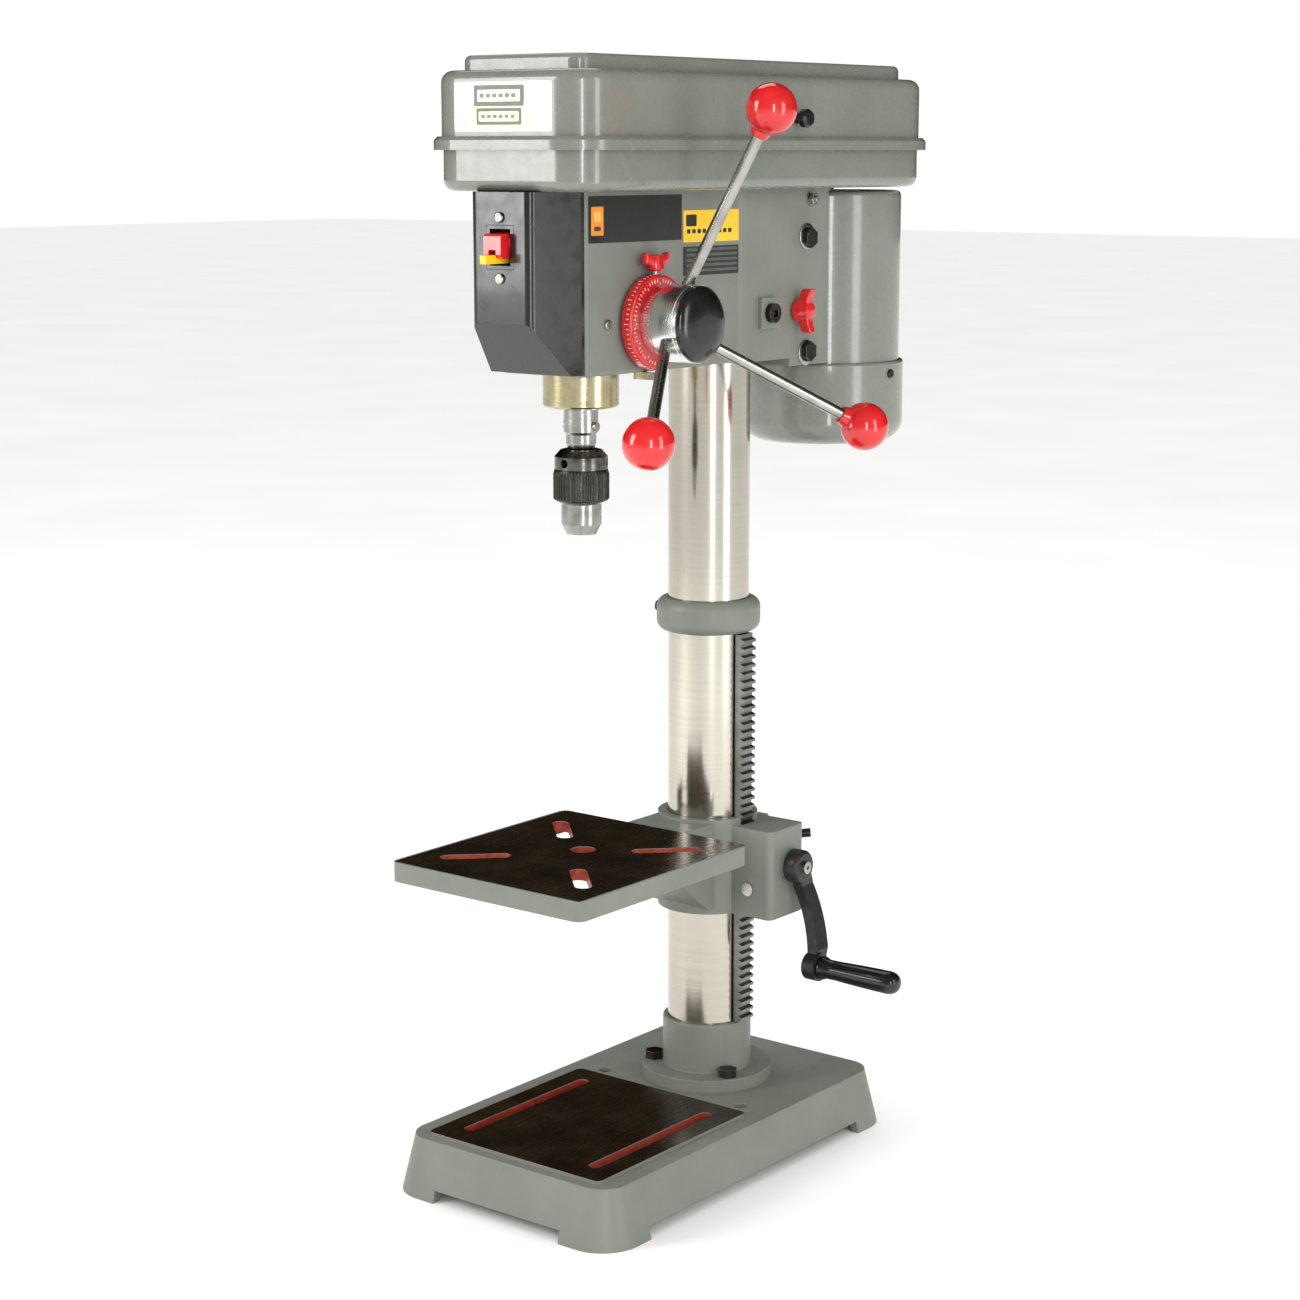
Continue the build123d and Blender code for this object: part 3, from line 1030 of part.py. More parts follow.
def feed_hub():
    x0 = DEPTH_RING_END + LOOSE
    points = [(0, x0), (HUB_R - 3.5, x0), (HUB_R - 3.5, x0 + 9), (HUB_R, x0 + 12),
              (HUB_R, HUB_END), (0, HUB_END)]
    hub = turned_x(points, FEED_Y, FEED_Z)
    hub -= rod_x(FEED_SHAFT_R + RUN_FIT / 2, x0 - 1, HUB_END + 1, FEED_Y, FEED_Z)
    for index in range(SPOKE_COUNT):
        hub -= spoke_rod(index, SPOKE_R + RUN_FIT / 2, -2.0, 40)
    return hub


def hub_cap():
    cap = rod_x(HUB_R + 0.5, HUB_END, CAP_END, FEED_Y, FEED_Z)
    cap = fillet(cap.edges().filter_by(GeomType.CIRCLE).group_by(Axis.X)[-1], 4)
    for index in range(SPOKE_COUNT):
        cap -= spoke_rod(index, SPOKE_R + 0.6, -2.0, 40)
    return cap


def feed_spokes():
    return [spoke_rod(index, SPOKE_R, -1.5, 2.0) for index in range(SPOKE_COUNT)]


def spoke_balls():
    balls = []
    for index in range(SPOKE_COUNT):
        root, ball = spoke_frame(index)
        along = (root - ball).normalized()
        neck = Solid.make_cone(8.0, 6.0, 6, Plane(ball + along * (BALL_R - 3), z_dir=along))
        knob = Pos(*ball) * Sphere(BALL_R) + neck
        knob -= spoke_rod(index, SPOKE_R + RUN_FIT / 2, -2.0, 1.9)
        balls.append(knob)
    return balls


def depth_ring():
    ring = rod_x(DEPTH_RING_R, DEPTH_RING_X, DEPTH_RING_END, FEED_Y, FEED_Z)
    ring = fillet(ring.edges().filter_by(GeomType.CIRCLE).group_by(Axis.X)[-1], 2)
    ring -= rod_x(FEED_SHAFT_R + LOOSE, DEPTH_RING_X - 1, DEPTH_RING_END + 1, FEED_Y, FEED_Z)
    return ring - rod_z(RING_SCREW_R + RUN_FIT, FEED_Z + 20, FEED_Z + DEPTH_RING_R + 2,
                        DEPTH_RING_MIDDLE, FEED_Y)


def ring_lock_knob():
    middle = DEPTH_RING_MIDDLE
    base = FEED_Z + DEPTH_RING_R
    screw = rod_z(RING_SCREW_R, FEED_Z + 21, base + 10, middle, FEED_Y)
    wing = block(middle - 2.4, middle + 2.4, FEED_Y - 11, FEED_Y + 11, base + 3, base + 14)
    wing = fillet(wing.edges().filter_by(Axis.X).sort_by(Axis.Z)[-2:], 4.5)
    return screw + wing + rod_z(4.4, base + 2, base + 9, middle, FEED_Y)


# ---- motor --------------------------------------------------------------------------
def motor_housing():
    can = rod_z(MOTOR_R, MOTOR_CAP_TOP, MOTOR_TOP, 0, MOTOR_Y)
    can = fillet(can.edges().filter_by(GeomType.CIRCLE).group_by(Axis.Z)[-1], 4)
    can -= rod_z(MOTOR_R - MOTOR_WALL, MOTOR_CAP_TOP - 1, MOTOR_TOP - MOTOR_WALL, 0, MOTOR_Y)
    return can - rod_z(MOTOR_SHAFT_R + LOOSE, MOTOR_TOP - 10, MOTOR_TOP + 1, 0, MOTOR_Y)


def motor_end_cap():
    cap = rod_z(MOTOR_CAP_R, MOTOR_BOTTOM, MOTOR_CAP_TOP, 0, MOTOR_Y)
    cap = fillet(cap.edges().filter_by(GeomType.CIRCLE).group_by(Axis.Z)[0], 16)
    cap = fillet(cap.edges().filter_by(GeomType.CIRCLE).group_by(Axis.Z)[-1], 2)
    cap -= rod_z(MOTOR_R - MOTOR_WALL, MOTOR_BOTTOM + 16, MOTOR_CAP_TOP + 1, 0, MOTOR_Y)
    cap -= rod_z(MOTOR_SHAFT_R + RUN_FIT, MOTOR_BOTTOM + 4, MOTOR_BOTTOM + 20, 0, MOTOR_Y)
    for index in range(MOTOR_VENTS):
        turn = 360 * index / MOTOR_VENTS
        vent = block(24, 46, -1.6, 1.6, MOTOR_BOTTOM - 1, MOTOR_BOTTOM + 18)
        cap -= Pos(0, MOTOR_Y, 0) * Rot(0, 0, turn) * vent
    return cap


def motor_stator():
    inside = MOTOR_R - MOTOR_WALL
    ring = rod_z(inside, ROTOR_BOTTOM, ROTOR_TOP, 0, MOTOR_Y)
    ring -= rod_z(ROTOR_R + 0.6, MOTOR_CAP_TOP, MOTOR_TOP, 0, MOTOR_Y)
    for z0, z1 in ((ROTOR_BOTTOM - 14, ROTOR_BOTTOM), (ROTOR_TOP, ROTOR_TOP + 14)):
        ring += rod_z(inside - 8, z0, z1, 0, MOTOR_Y) - rod_z(ROTOR_R + 3, z0, z1, 0, MOTOR_Y)
    return ring


def motor_shaft():
    shaft = rod_z(MOTOR_SHAFT_R, MOTOR_BOTTOM + 5, PULLEY_TOP - 2, 0, MOTOR_Y)
    return shaft + rod_z(ROTOR_R, ROTOR_BOTTOM, ROTOR_TOP, 0, MOTOR_Y)


def motor_plate():
    """The mounting pad of the motor with the tongue that the wing knob pinches."""
    half = HEAD_REAR_HALF_WIDTH - HEAD_CHEEK - 2
    pad = block(-half, half, MOTOR_PLATE_FRONT, MOTOR_Y - MOTOR_R / 2, MOTOR_CAP_TOP + 3,
                MOTOR_TOP - 12)
    pad -= rod_z(MOTOR_R, MOTOR_CAP_TOP, MOTOR_TOP, 0, MOTOR_Y)
    pad += block(TONGUE_X - TONGUE_HALF_THICK, TONGUE_X + TONGUE_HALF_THICK,
                 COLUMN_R + 11 + SLIDE_TRAVEL, MOTOR_PLATE_FRONT + 1,
                 FEED_Z - TONGUE_HALF_HEIGHT, FEED_Z + TONGUE_HALF_HEIGHT)
    for z in SLIDE_BAR_Z:
        pad -= rod_y(SLIDE_BAR_R + RUN_FIT / 2, MOTOR_PLATE_FRONT - 1, MOTOR_PLATE_FRONT + 6, 0, z)
    return pad


def slide_bars():
    start = COLUMN_R + 7 + SLIDE_TRAVEL
    return [rod_y(SLIDE_BAR_R, start, MOTOR_PLATE_FRONT + 5.9, 0, z) for z in SLIDE_BAR_Z]


# ---- belt drive ---------------------------------------------------------------------
def step_pulley(radii, bore, y):
    """A five-step cone pulley; radii run from the bottom step to the top one."""
    points = [(bore, PULLEY_BOTTOM)]
    for index, radius in enumerate(radii):
        low = PULLEY_BOTTOM + index * PULLEY_STEP
        middle = low + PULLEY_STEP / 2
        points += [(radius, low), (radius, middle - GROOVE_TOP_HALF),
                   (radius - GROOVE_DEPTH, middle - GROOVE_ROOT_HALF),
                   (radius - GROOVE_DEPTH, middle + GROOVE_ROOT_HALF),
                   (radius, middle + GROOVE_TOP_HALF), (radius, low + PULLEY_STEP)]
    points.append((bore, PULLEY_TOP))
    return turned(points, 0, y)


def spindle_pulley():
    body = step_pulley(PULLEY_RADII, SPLINE_R + RUN_FIT, SPINDLE_Y)
    stem = rod_z(PULLEY_STEM_R, PULLEY_BEARING_BOTTOM, PULLEY_BOTTOM + 1, 0, SPINDLE_Y)
    return body + stem - rod_z(SPLINE_R + RUN_FIT, PULLEY_BEARING_BOTTOM - 1, PULLEY_BOTTOM + 2,
                               0, SPINDLE_Y)


def motor_pulley():
    return step_pulley(PULLEY_RADII[::-1], MOTOR_SHAFT_R + RUN_FIT / 2, MOTOR_Y)


def pulley_bearings():
    rings = []
    width = PULLEY_BEARING_WIDTH
    for z in (PULLEY_BEARING_BOTTOM, HEAD_TOP - width - 1):
        ring = rod_z(PULLEY_BEARING_R, z, z + width, 0, SPINDLE_Y)
        rings.append(ring - rod_z(PULLEY_STEM_R + RUN_FIT, z - 1, z + width + 1, 0, SPINDLE_Y))
    return rings


def drive_belt():
    """A V belt on the middle steps, whose runs are parallel."""
    radius = PULLEY_RADII[MIDDLE_STEP]
    z = PULLEY_BOTTOM + (MIDDLE_STEP + 0.5) * PULLEY_STEP
    outer = radius - 0.4
    inner = radius - GROOVE_DEPTH + LOOSE + 0.4
    narrow = (GROOVE_TOP_HALF - GROOVE_ROOT_HALF) / GROOVE_DEPTH
    half_out = GROOVE_TOP_HALF - narrow * 0.4 - LOOSE
    half_in = GROOVE_TOP_HALF - narrow * (radius - inner) - LOOSE
    section = make_face(Polyline((inner, z - half_in), (outer, z - half_out),
                                 (outer, z + half_out), (inner, z + half_in), close=True))
    front = Pos(0, SPINDLE_Y, 0) * (revolve(Plane.XZ * section, Axis.Z, -180))
    back = Pos(0, MOTOR_Y, 0) * (revolve(Plane.XZ * section, Axis.Z, 180))
    run = Pos(0, MOTOR_Y, 0) * extrude(Plane.XZ * section, MOTOR_Y - SPINDLE_Y)
    return front + back + run + mirror(run, Plane.YZ)


# ---- belt cover ---------------------------------------------------------------------
def guard_plan(grow):
    """Plan outline of the belt cover, grown outwards by the given amount."""
    half = TRAY_HALF_WIDTH + grow
    front = GUARD_FRONT - grow
    back = GUARD_BACK + grow
    face = Pos(0, (front + back) / 2) * Rectangle(2 * half, back - front)
    face = fillet(face.vertices().sort_by(Axis.Y)[:2], max(FRONT_CORNER + grow, 2))
    return fillet(face.vertices().sort_by(Axis.Y)[-2:], max(BACK_CORNER + grow, 2))


def guard_slab(grow, z0, z1, round_top=0.0, round_bottom=0.0):
    slab = Pos(0, 0, z0) * extrude(guard_plan(grow), z1 - z0)
    if round_top:
        slab = fillet(slab.edges().group_by(Axis.Z)[-1], round_top)
    if round_bottom:
        slab = fillet(slab.edges().group_by(Axis.Z)[0], round_bottom)
    return slab


def belt_tray():
    tray = guard_slab(0, TRAY_BOTTOM, TRAY_TOP, 0, TRAY_ROUND)
    tray -= guard_slab(-SHEET, TRAY_BOTTOM + SHEET, TRAY_TOP + 1, 0, TRAY_ROUND - SHEET)
    tray -= rod_z(PULLEY_STEM_R + LOOSE + 1, TRAY_BOTTOM - 1, TRAY_BOTTOM + 5, 0, SPINDLE_Y)
    tray -= slot_cut(0, MOTOR_Y - SLIDE_TRAVEL / 2, 2 * MOTOR_SHAFT_R + SLIDE_TRAVEL + 4,
                     2 * MOTOR_SHAFT_R + 4, TRAY_BOTTOM - 1, TRAY_BOTTOM + 5)
    for x, y in tray_screw_places():
        tray -= rod_z(TRAY_SCREW_R + 0.1, TRAY_BOTTOM - 1, TRAY_BOTTOM + 5, x, y)
    for y in HINGE_Y:
        tray += block(HINGE_X - 2, -TRAY_HALF_WIDTH + SHEET / 2, y - 9, y + 9, HINGE_Z - 9.5,
                      HINGE_Z - 3.5)
        tray += rod_y(HINGE_BARREL_R, y - 9, y + 9, HINGE_X, HINGE_Z)
        tray -= rod_y(HINGE_PIN_R + RUN_FIT / 2, y - 10, y + 10, HINGE_X, HINGE_Z)
    return tray


def tray_screws():
    top = TRAY_BOTTOM + SHEET
    screws = []
    for x, y in tray_screw_places():
        screw = rod_z(4.5, top, top + 3, x, y) + rod_z(TRAY_SCREW_R, top - 12, top + 1, x, y)
        screws.append(screw - hex_z(3, top + 1, top + 4, x, y))
    return screws


def belt_cover_lid():
    shell = guard_slab(LID_GROW, LID_BOTTOM, LID_SHOULDER, LID_ROUND)
    lip = guard_slab(LIP_GROW, LID_BOTTOM, LID_BOTTOM + LIP_HEIGHT)
    lip = chamfer(lip.edges().group_by(Axis.Z)[-1], 2.5)
    panel = guard_slab(-PANEL_INSET, LID_SHOULDER - SHEET, LID_TOP, PANEL_ROUND)
    lid = shell + lip + panel
    lid -= guard_slab(LID_GROW - SHEET, LID_BOTTOM - 1, LID_SHOULDER - SHEET, LID_ROUND - SHEET)
    lid -= guard_slab(-PANEL_INSET - SHEET, LID_SHOULDER - SHEET - 1, LID_TOP - SHEET,
                      PANEL_ROUND - SHEET)
    lid -= guard_slab(LID_LAP, LID_BOTTOM - 1, TRAY_TOP + LID_LAP)
    for y in HINGE_Y:
        for side in (-1, 1):
            middle = y + side * 15
            lid += block(HINGE_X, -TRAY_HALF_WIDTH - LIP_GROW + 1, middle - 5, middle + 5,
                         HINGE_Z + 2.6, HINGE_Z + 7)
            lid += rod_y(HINGE_BARREL_R, middle - 5, middle + 5, HINGE_X, HINGE_Z)
            lid -= rod_y(HINGE_PIN_R + RUN_FIT, middle - 6, middle + 6, HINGE_X, HINGE_Z)
    return lid - rod_x(2.5, TRAY_HALF_WIDTH - 4, TRAY_HALF_WIDTH + 4, LID_KNOB_Y, LID_KNOB_Z)


def hinge_pins():
    return [rod_y(HINGE_PIN_R, y - 21, y + 21, HINGE_X, HINGE_Z) for y in HINGE_Y]


def lid_knob():
    face = TRAY_HALF_WIDTH + LID_GROW
    points = [(0, face - 4), (2.45, face - 4), (2.45, face), (4.0, face), (3.5, face + 3),
              (6.5, face + 6), (6.5, face + 10), (5.0, face + 12), (0, face + 12)]
    return turned_x(points, LID_KNOB_Y, LID_KNOB_Z)


def cable_gland():
    """The gland where the supply lead would enter the head; the lead itself is left out."""
    face = -HEAD_REAR_HALF_WIDTH
    points = [(3.2, -face - 7), (GLAND_R, -face - 7), (GLAND_R, -face), (9.0, -face),
              (9.0, -face + 5),
              (7.0, -face + 6), (5.5, -face + 15), (3.2, -face + 15)]
    return mirror(turned_x(points, GLAND_Y, GLAND_Z), Plane.YZ)


# ---- write every piece --------------------------------------------------------------
save("base_casting", base_casting())
save("column_flange", column_flange())
save("flange_bolts", *flange_bolts())
save("column_tube", column_tube())
save("rack_collar", rack_collar())
save("collar_set_screw", collar_set_screw())
save("lift_rack", lift_rack())

save("table_casting", table_casting())
save("gear_pin", gear_pin())
save("lift_gear", lift_gear())
save("worm_shaft", worm_shaft())
save("crank_arm", crank_arm())
save("crank_screw", crank_screw())
save("crank_grip", crank_grip())
save("column_lock_lever", column_lock_lever())

save("head_casting", head_casting())
save("quill_guide_ring", quill_guide_ring())
save("head_lock_screw", head_lock_screw())
save("bar_lock_bolts", *bar_lock_bolts())
save("tension_knob", tension_knob())
save("switch_cover", switch_cover())
save("cover_screws", *cover_screws())
save("switch_body", switch_body())
save("switch_paddle", switch_paddle())
save("switch_key", switch_key())
save("depth_pointer", depth_pointer())
save("spring_cap", spring_cap())
save("return_spring", return_spring())
save("cable_gland", cable_gland())

save("quill", quill())
save("quill_bearings", *quill_bearings())
save("spindle", spindle())
save("chuck_body", chuck_body())
save("chuck_sleeve", chuck_sleeve())
for number, turn in enumerate(JAW_TURNS, 1):
    save(f"chuck_jaw_{number}", chuck_jaw(turn))

save("feed_shaft", feed_shaft())
save("feed_hub", feed_hub())
save("hub_cap", hub_cap())
save("feed_spokes", *feed_spokes())
save("spoke_balls", *spoke_balls())
save("depth_ring", depth_ring())
save("ring_lock_knob", ring_lock_knob())

save("motor_housing", motor_housing())
save("motor_end_cap", motor_end_cap())
save("motor_stator", motor_stator())
save("motor_shaft", motor_shaft())
save("motor_plate", motor_plate())
save("slide_bars", *slide_bars())
save("spindle_pulley", spindle_pulley())
save("motor_pulley", motor_pulley())
save("pulley_bearings", *pulley_bearings())
save("drive_belt", drive_belt())

save("belt_tray", belt_tray())
save("tray_screws", *tray_screws())
save("belt_cover_lid", belt_cover_lid())
save("hinge_pins", *hinge_pins())
save("lid_knob", lid_knob())
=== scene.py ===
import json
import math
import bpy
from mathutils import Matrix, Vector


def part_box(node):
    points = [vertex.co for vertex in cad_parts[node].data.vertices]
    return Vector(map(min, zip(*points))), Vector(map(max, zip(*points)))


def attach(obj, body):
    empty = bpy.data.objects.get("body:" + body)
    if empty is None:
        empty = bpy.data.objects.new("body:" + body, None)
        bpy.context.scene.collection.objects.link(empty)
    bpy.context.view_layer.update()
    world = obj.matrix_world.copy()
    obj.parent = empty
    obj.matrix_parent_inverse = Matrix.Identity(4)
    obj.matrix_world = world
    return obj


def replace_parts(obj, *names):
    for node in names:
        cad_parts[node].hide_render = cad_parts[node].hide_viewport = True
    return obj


bl_info = {
    "name": "Bench Drill Press",
    "version": (1, 0, 0),
    "blender": (4, 5, 0),
    "location": "View3D > Sidebar > Drill Press",
    "description": "Finishes, small parts and a studio for a bench drill press",
    "category": "Object",
}

import bpy
from bpy.props import FloatProperty, FloatVectorProperty, IntProperty, PointerProperty
from mathutils import Vector

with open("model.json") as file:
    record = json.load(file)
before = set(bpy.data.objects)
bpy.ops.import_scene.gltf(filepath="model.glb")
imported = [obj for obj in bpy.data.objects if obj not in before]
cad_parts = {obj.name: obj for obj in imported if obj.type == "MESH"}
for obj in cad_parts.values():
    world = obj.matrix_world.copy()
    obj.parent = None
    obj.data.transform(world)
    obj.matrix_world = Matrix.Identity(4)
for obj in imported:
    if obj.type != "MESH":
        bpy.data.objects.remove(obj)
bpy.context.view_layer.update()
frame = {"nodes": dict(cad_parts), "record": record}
NODES = frame["nodes"]
MM = 0.001
AXES = {"X": Vector((1, 0, 0)), "Y": Vector((0, 1, 0)), "Z": Vector((0, 0, 1))}
NOISE_LOW = 0.3  # Noise lies almost wholly between these two values.
NOISE_HIGH = 0.7
LOCK_BOSS = 4 * MM  # The head lock's boss stands this far out of the rear cheek.


def linear(code):
    """The linear colour of an sRGB hex code, as a shader takes it."""
    shares = [int(code[i:i + 2], 16) / 255 for i in (0, 2, 4)]
    return [s / 12.92 if s <= 0.04045 else ((s + 0.055) / 1.055) ** 2.4 for s in shares]


def paint(code, name, use):
    """A colour that a user can change, with its sRGB hex default."""
    return FloatVectorProperty(name=name, description=use, subtype="COLOR", size=3,
                               min=0.0, max=1.0, default=linear(code))


def length(mm, name, use):
    """A length that a user can change, given in millimetres."""
    return FloatProperty(name=name, description=use, unit="LENGTH", min=0.0, default=mm * MM)


class DrillPressColours(bpy.types.PropertyGroup):
    enamel: paint("757970", "Enamel", "Grey machine enamel on castings and sheet steel")
    enamel_worn: paint("a3a79d", "Enamel edge", "Paler enamel on corners where it is thin")
    machined: paint("40331f", "Oiled iron", "Planed cast iron under a brown film of oil")
    primer: paint("9f3a22", "Primer", "Red oxide primer left in the cast slots")
    column: paint("cfcabd", "Column", "Ground and polished steel tube")
    steel: paint("b9b9b3", "Steel", "Bright turned and milled steel")
    chrome: paint("eceeec", "Chrome", "Chrome plate on the feed hub")
    straw: paint("cdc29a", "Guide", "Turned guide with a straw tint")
    oxide: paint("35332f", "Black oxide", "Blackened steel of the chuck and screws")
    plastic: paint("131412", "Black plastic", "Moulded ABS of the switch cover and caps")
    red: paint("d0191d", "Red plastic", "Phenolic balls and wing knobs")
    yellow: paint("f2c316", "Yellow plastic", "Safety key and labels")
    black: paint("1d1c1a", "Black enamel", "Brushed enamel on the crank")
    rubber: paint("1b1b1a", "Rubber", "Fabric-backed belt rubber")
    alloy: paint("b4b5b4", "Alloy", "Die-cast pulley alloy")
    iron: paint("6a6a66", "Laminations", "Stacked motor laminations")
    copper: paint("a6592a", "Windings", "Varnished copper windings")
    cream: paint("f4f0da", "Label", "Pale ground of the printed labels")


class DrillPressSizes(bpy.types.PropertyGroup):
    scale_marks: IntProperty(name="Scale marks", min=8, max=120, default=60,
                             description="Marks around the depth ring")
    label_thick: length(0.25, "Label thickness", "Printed vinyl with its lacquer")
    washer_thick: length(1.2, "Washer thickness", "Plain washers under the bolts")
    grip_waist: length(7.3, "Grip waist", "Radius of the crank grip at its thin end")
    wing_span: length(12.5, "Ring knob span", "Half width of the wing knob on the ring")


class DrillPressStudio(bpy.types.PropertyGroup):
    azimuth: FloatProperty(name="Azimuth", subtype="ANGLE", default=math.radians(38.0),
                           description="Camera turned to the operator's right")
    pitch: FloatProperty(name="Pitch", subtype="ANGLE", default=math.radians(10.57),
                         description="Camera looking down")
    distance: length(1962.0, "Distance", "Camera from the column axis, along the floor")
    height: length(737.7, "Height", "Camera above the bench")
    aside: length(43.5, "Aside", "Camera to the left of the column axis")
    lens: FloatProperty(name="Lens", default=74.13, description="Focal length in mm")


# ---- materials ----------------------------------------------------------------------
def add_node(tree, kind, links=None, **settings):
    """Adds a node; links maps its sockets to values or to other nodes' outputs."""
    node = tree.nodes.new(kind)
    for name, value in settings.items():
        setattr(node, name, value)
    for socket, value in (links or {}).items():
        if isinstance(value, bpy.types.NodeSocket):
            tree.links.new(value, node.inputs[socket])
        else:
            node.inputs[socket].default_value = value
    return node


def new_material(name, **shader):
    """A material with one Principled shader, whose constants are set on its sockets."""
    material = bpy.data.materials.new(name)
    material.use_nodes = True
    tree = material.node_tree
    tree.nodes.clear()
    bsdf = add_node(tree, "ShaderNodeBsdfPrincipled", {key.replace("_", " "): value
                                                       for key, value in shader.items()})
    add_node(tree, "ShaderNodeOutputMaterial", {"Surface": bsdf.outputs["BSDF"]})
    return material, tree, bsdf


def spots(tree, size_mm, detail=2.0, stretch=(1.0, 1.0, 1.0)):
    """Noise with spots about size_mm wide, drawn out where stretch is small."""
    place = add_node(tree, "ShaderNodeTexCoord").outputs["Object"]
    turned = add_node(tree, "ShaderNodeMapping", {"Vector": place, "Scale": stretch})
    noise = add_node(tree, "ShaderNodeTexNoise", {
        "Vector": turned.outputs["Vector"], "Scale": 1 / (size_mm * MM), "Detail": detail})
    return noise.outputs["Fac"]


def spread(tree, factor, low, high):
    """Turns noise around a half into a value from low to high."""
    return add_node(tree, "ShaderNodeMapRange", {
        "Value": factor, "From Min": NOISE_LOW, "From Max": NOISE_HIGH, "To Min": low,
        "To Max": high}).outputs["Result"]


def mix(tree, factor, first, second):
    """Blends two colours, each a constant or a socket."""
    sides = [side if isinstance(side, bpy.types.NodeSocket) else (*side, 1.0)
             for side in (first, second)]
    node = add_node(tree, "ShaderNodeMix", {0: factor, 6: sides[0], 7: sides[1]},
                    data_type="RGBA")
    return node.outputs[2]


def shade(colour, share):
    """A colour made darker or lighter by a share."""
    return [min(1.0, channel * share) for channel in colour]


def relief(tree, bsdf, height, depth_mm, under=None):
    """Bump of depth_mm on the shader, on top of another normal."""
    links = {"Height": height, "Distance": depth_mm * MM}
    if under:
        links["Normal"] = under
    bump = add_node(tree, "ShaderNodeBump", links)
    tree.links.new(bump.outputs["Normal"], bsdf.inputs["Normal"])
    return bump.outputs["Normal"]


def soft_edges(tree, radius_mm):
    """A rounded normal and a mask of the edges that it rounds."""
    bevel = add_node(tree, "ShaderNodeBevel", {"Radius": radius_mm * MM}, samples=4)
    flat = add_node(tree, "ShaderNodeNewGeometry").outputs["Normal"]
    facing = add_node(tree, "ShaderNodeVectorMath", {0: bevel.outputs["Normal"], 1: flat},
                      operation="DOT_PRODUCT").outputs["Value"]
    mask = add_node(tree, "ShaderNodeMapRange", {"Value": facing, "From Min": 0.995,
                                                 "From Max": 0.85, "To Min": 0.0,
                                                 "To Max": 1.0}).outputs["Result"]
    return bevel.outputs["Normal"], mask


def inside(tree, low, high):
    """1 where the object-space place is between two corners."""
    place = add_node(tree, "ShaderNodeTexCoord").outputs["Object"]
    parts = add_node(tree, "ShaderNodeSeparateXYZ", {"Vector": place}).outputs
    result = 1.0
    for axis in range(3):
        band = add_node(tree, "ShaderNodeMath", {
            0: parts[axis], 1: (low[axis] + high[axis]) / 2, 2: (high[axis] - low[axis]) / 2},
            operation="COMPARE").outputs["Value"]
        result = add_node(tree, "ShaderNodeMath", {0: band, 1: result},
                          operation="MULTIPLY").outputs["Value"]
    return result


def sheet_enamel(name, colours):
    # Stoved enamel on pressed steel: smooth and half glossy, with a faint orange peel.
    material, tree, bsdf = new_material(name, IOR=1.5, Coat_Weight=0.6, Coat_Roughness=0.07)
    normal, edges = soft_edges(tree, 0.8)
    cloud = mix(tree, spread(tree, spots(tree, 70, 3), 0, 1), shade(colours.enamel, 0.94),
                shade(colours.enamel, 1.05))
    worn = add_node(tree, "ShaderNodeMath", {0: edges, 1: 0.35}, operation="MULTIPLY")
    colour = mix(tree, worn.outputs["Value"], cloud, colours.enamel_worn)
    tree.links.new(colour, bsdf.inputs["Base Color"])
    tree.links.new(spread(tree, spots(tree, 9, 3), 0.22, 0.32), bsdf.inputs["Roughness"])
    relief(tree, bsdf, spots(tree, 4.0), 0.005, normal)
    return material


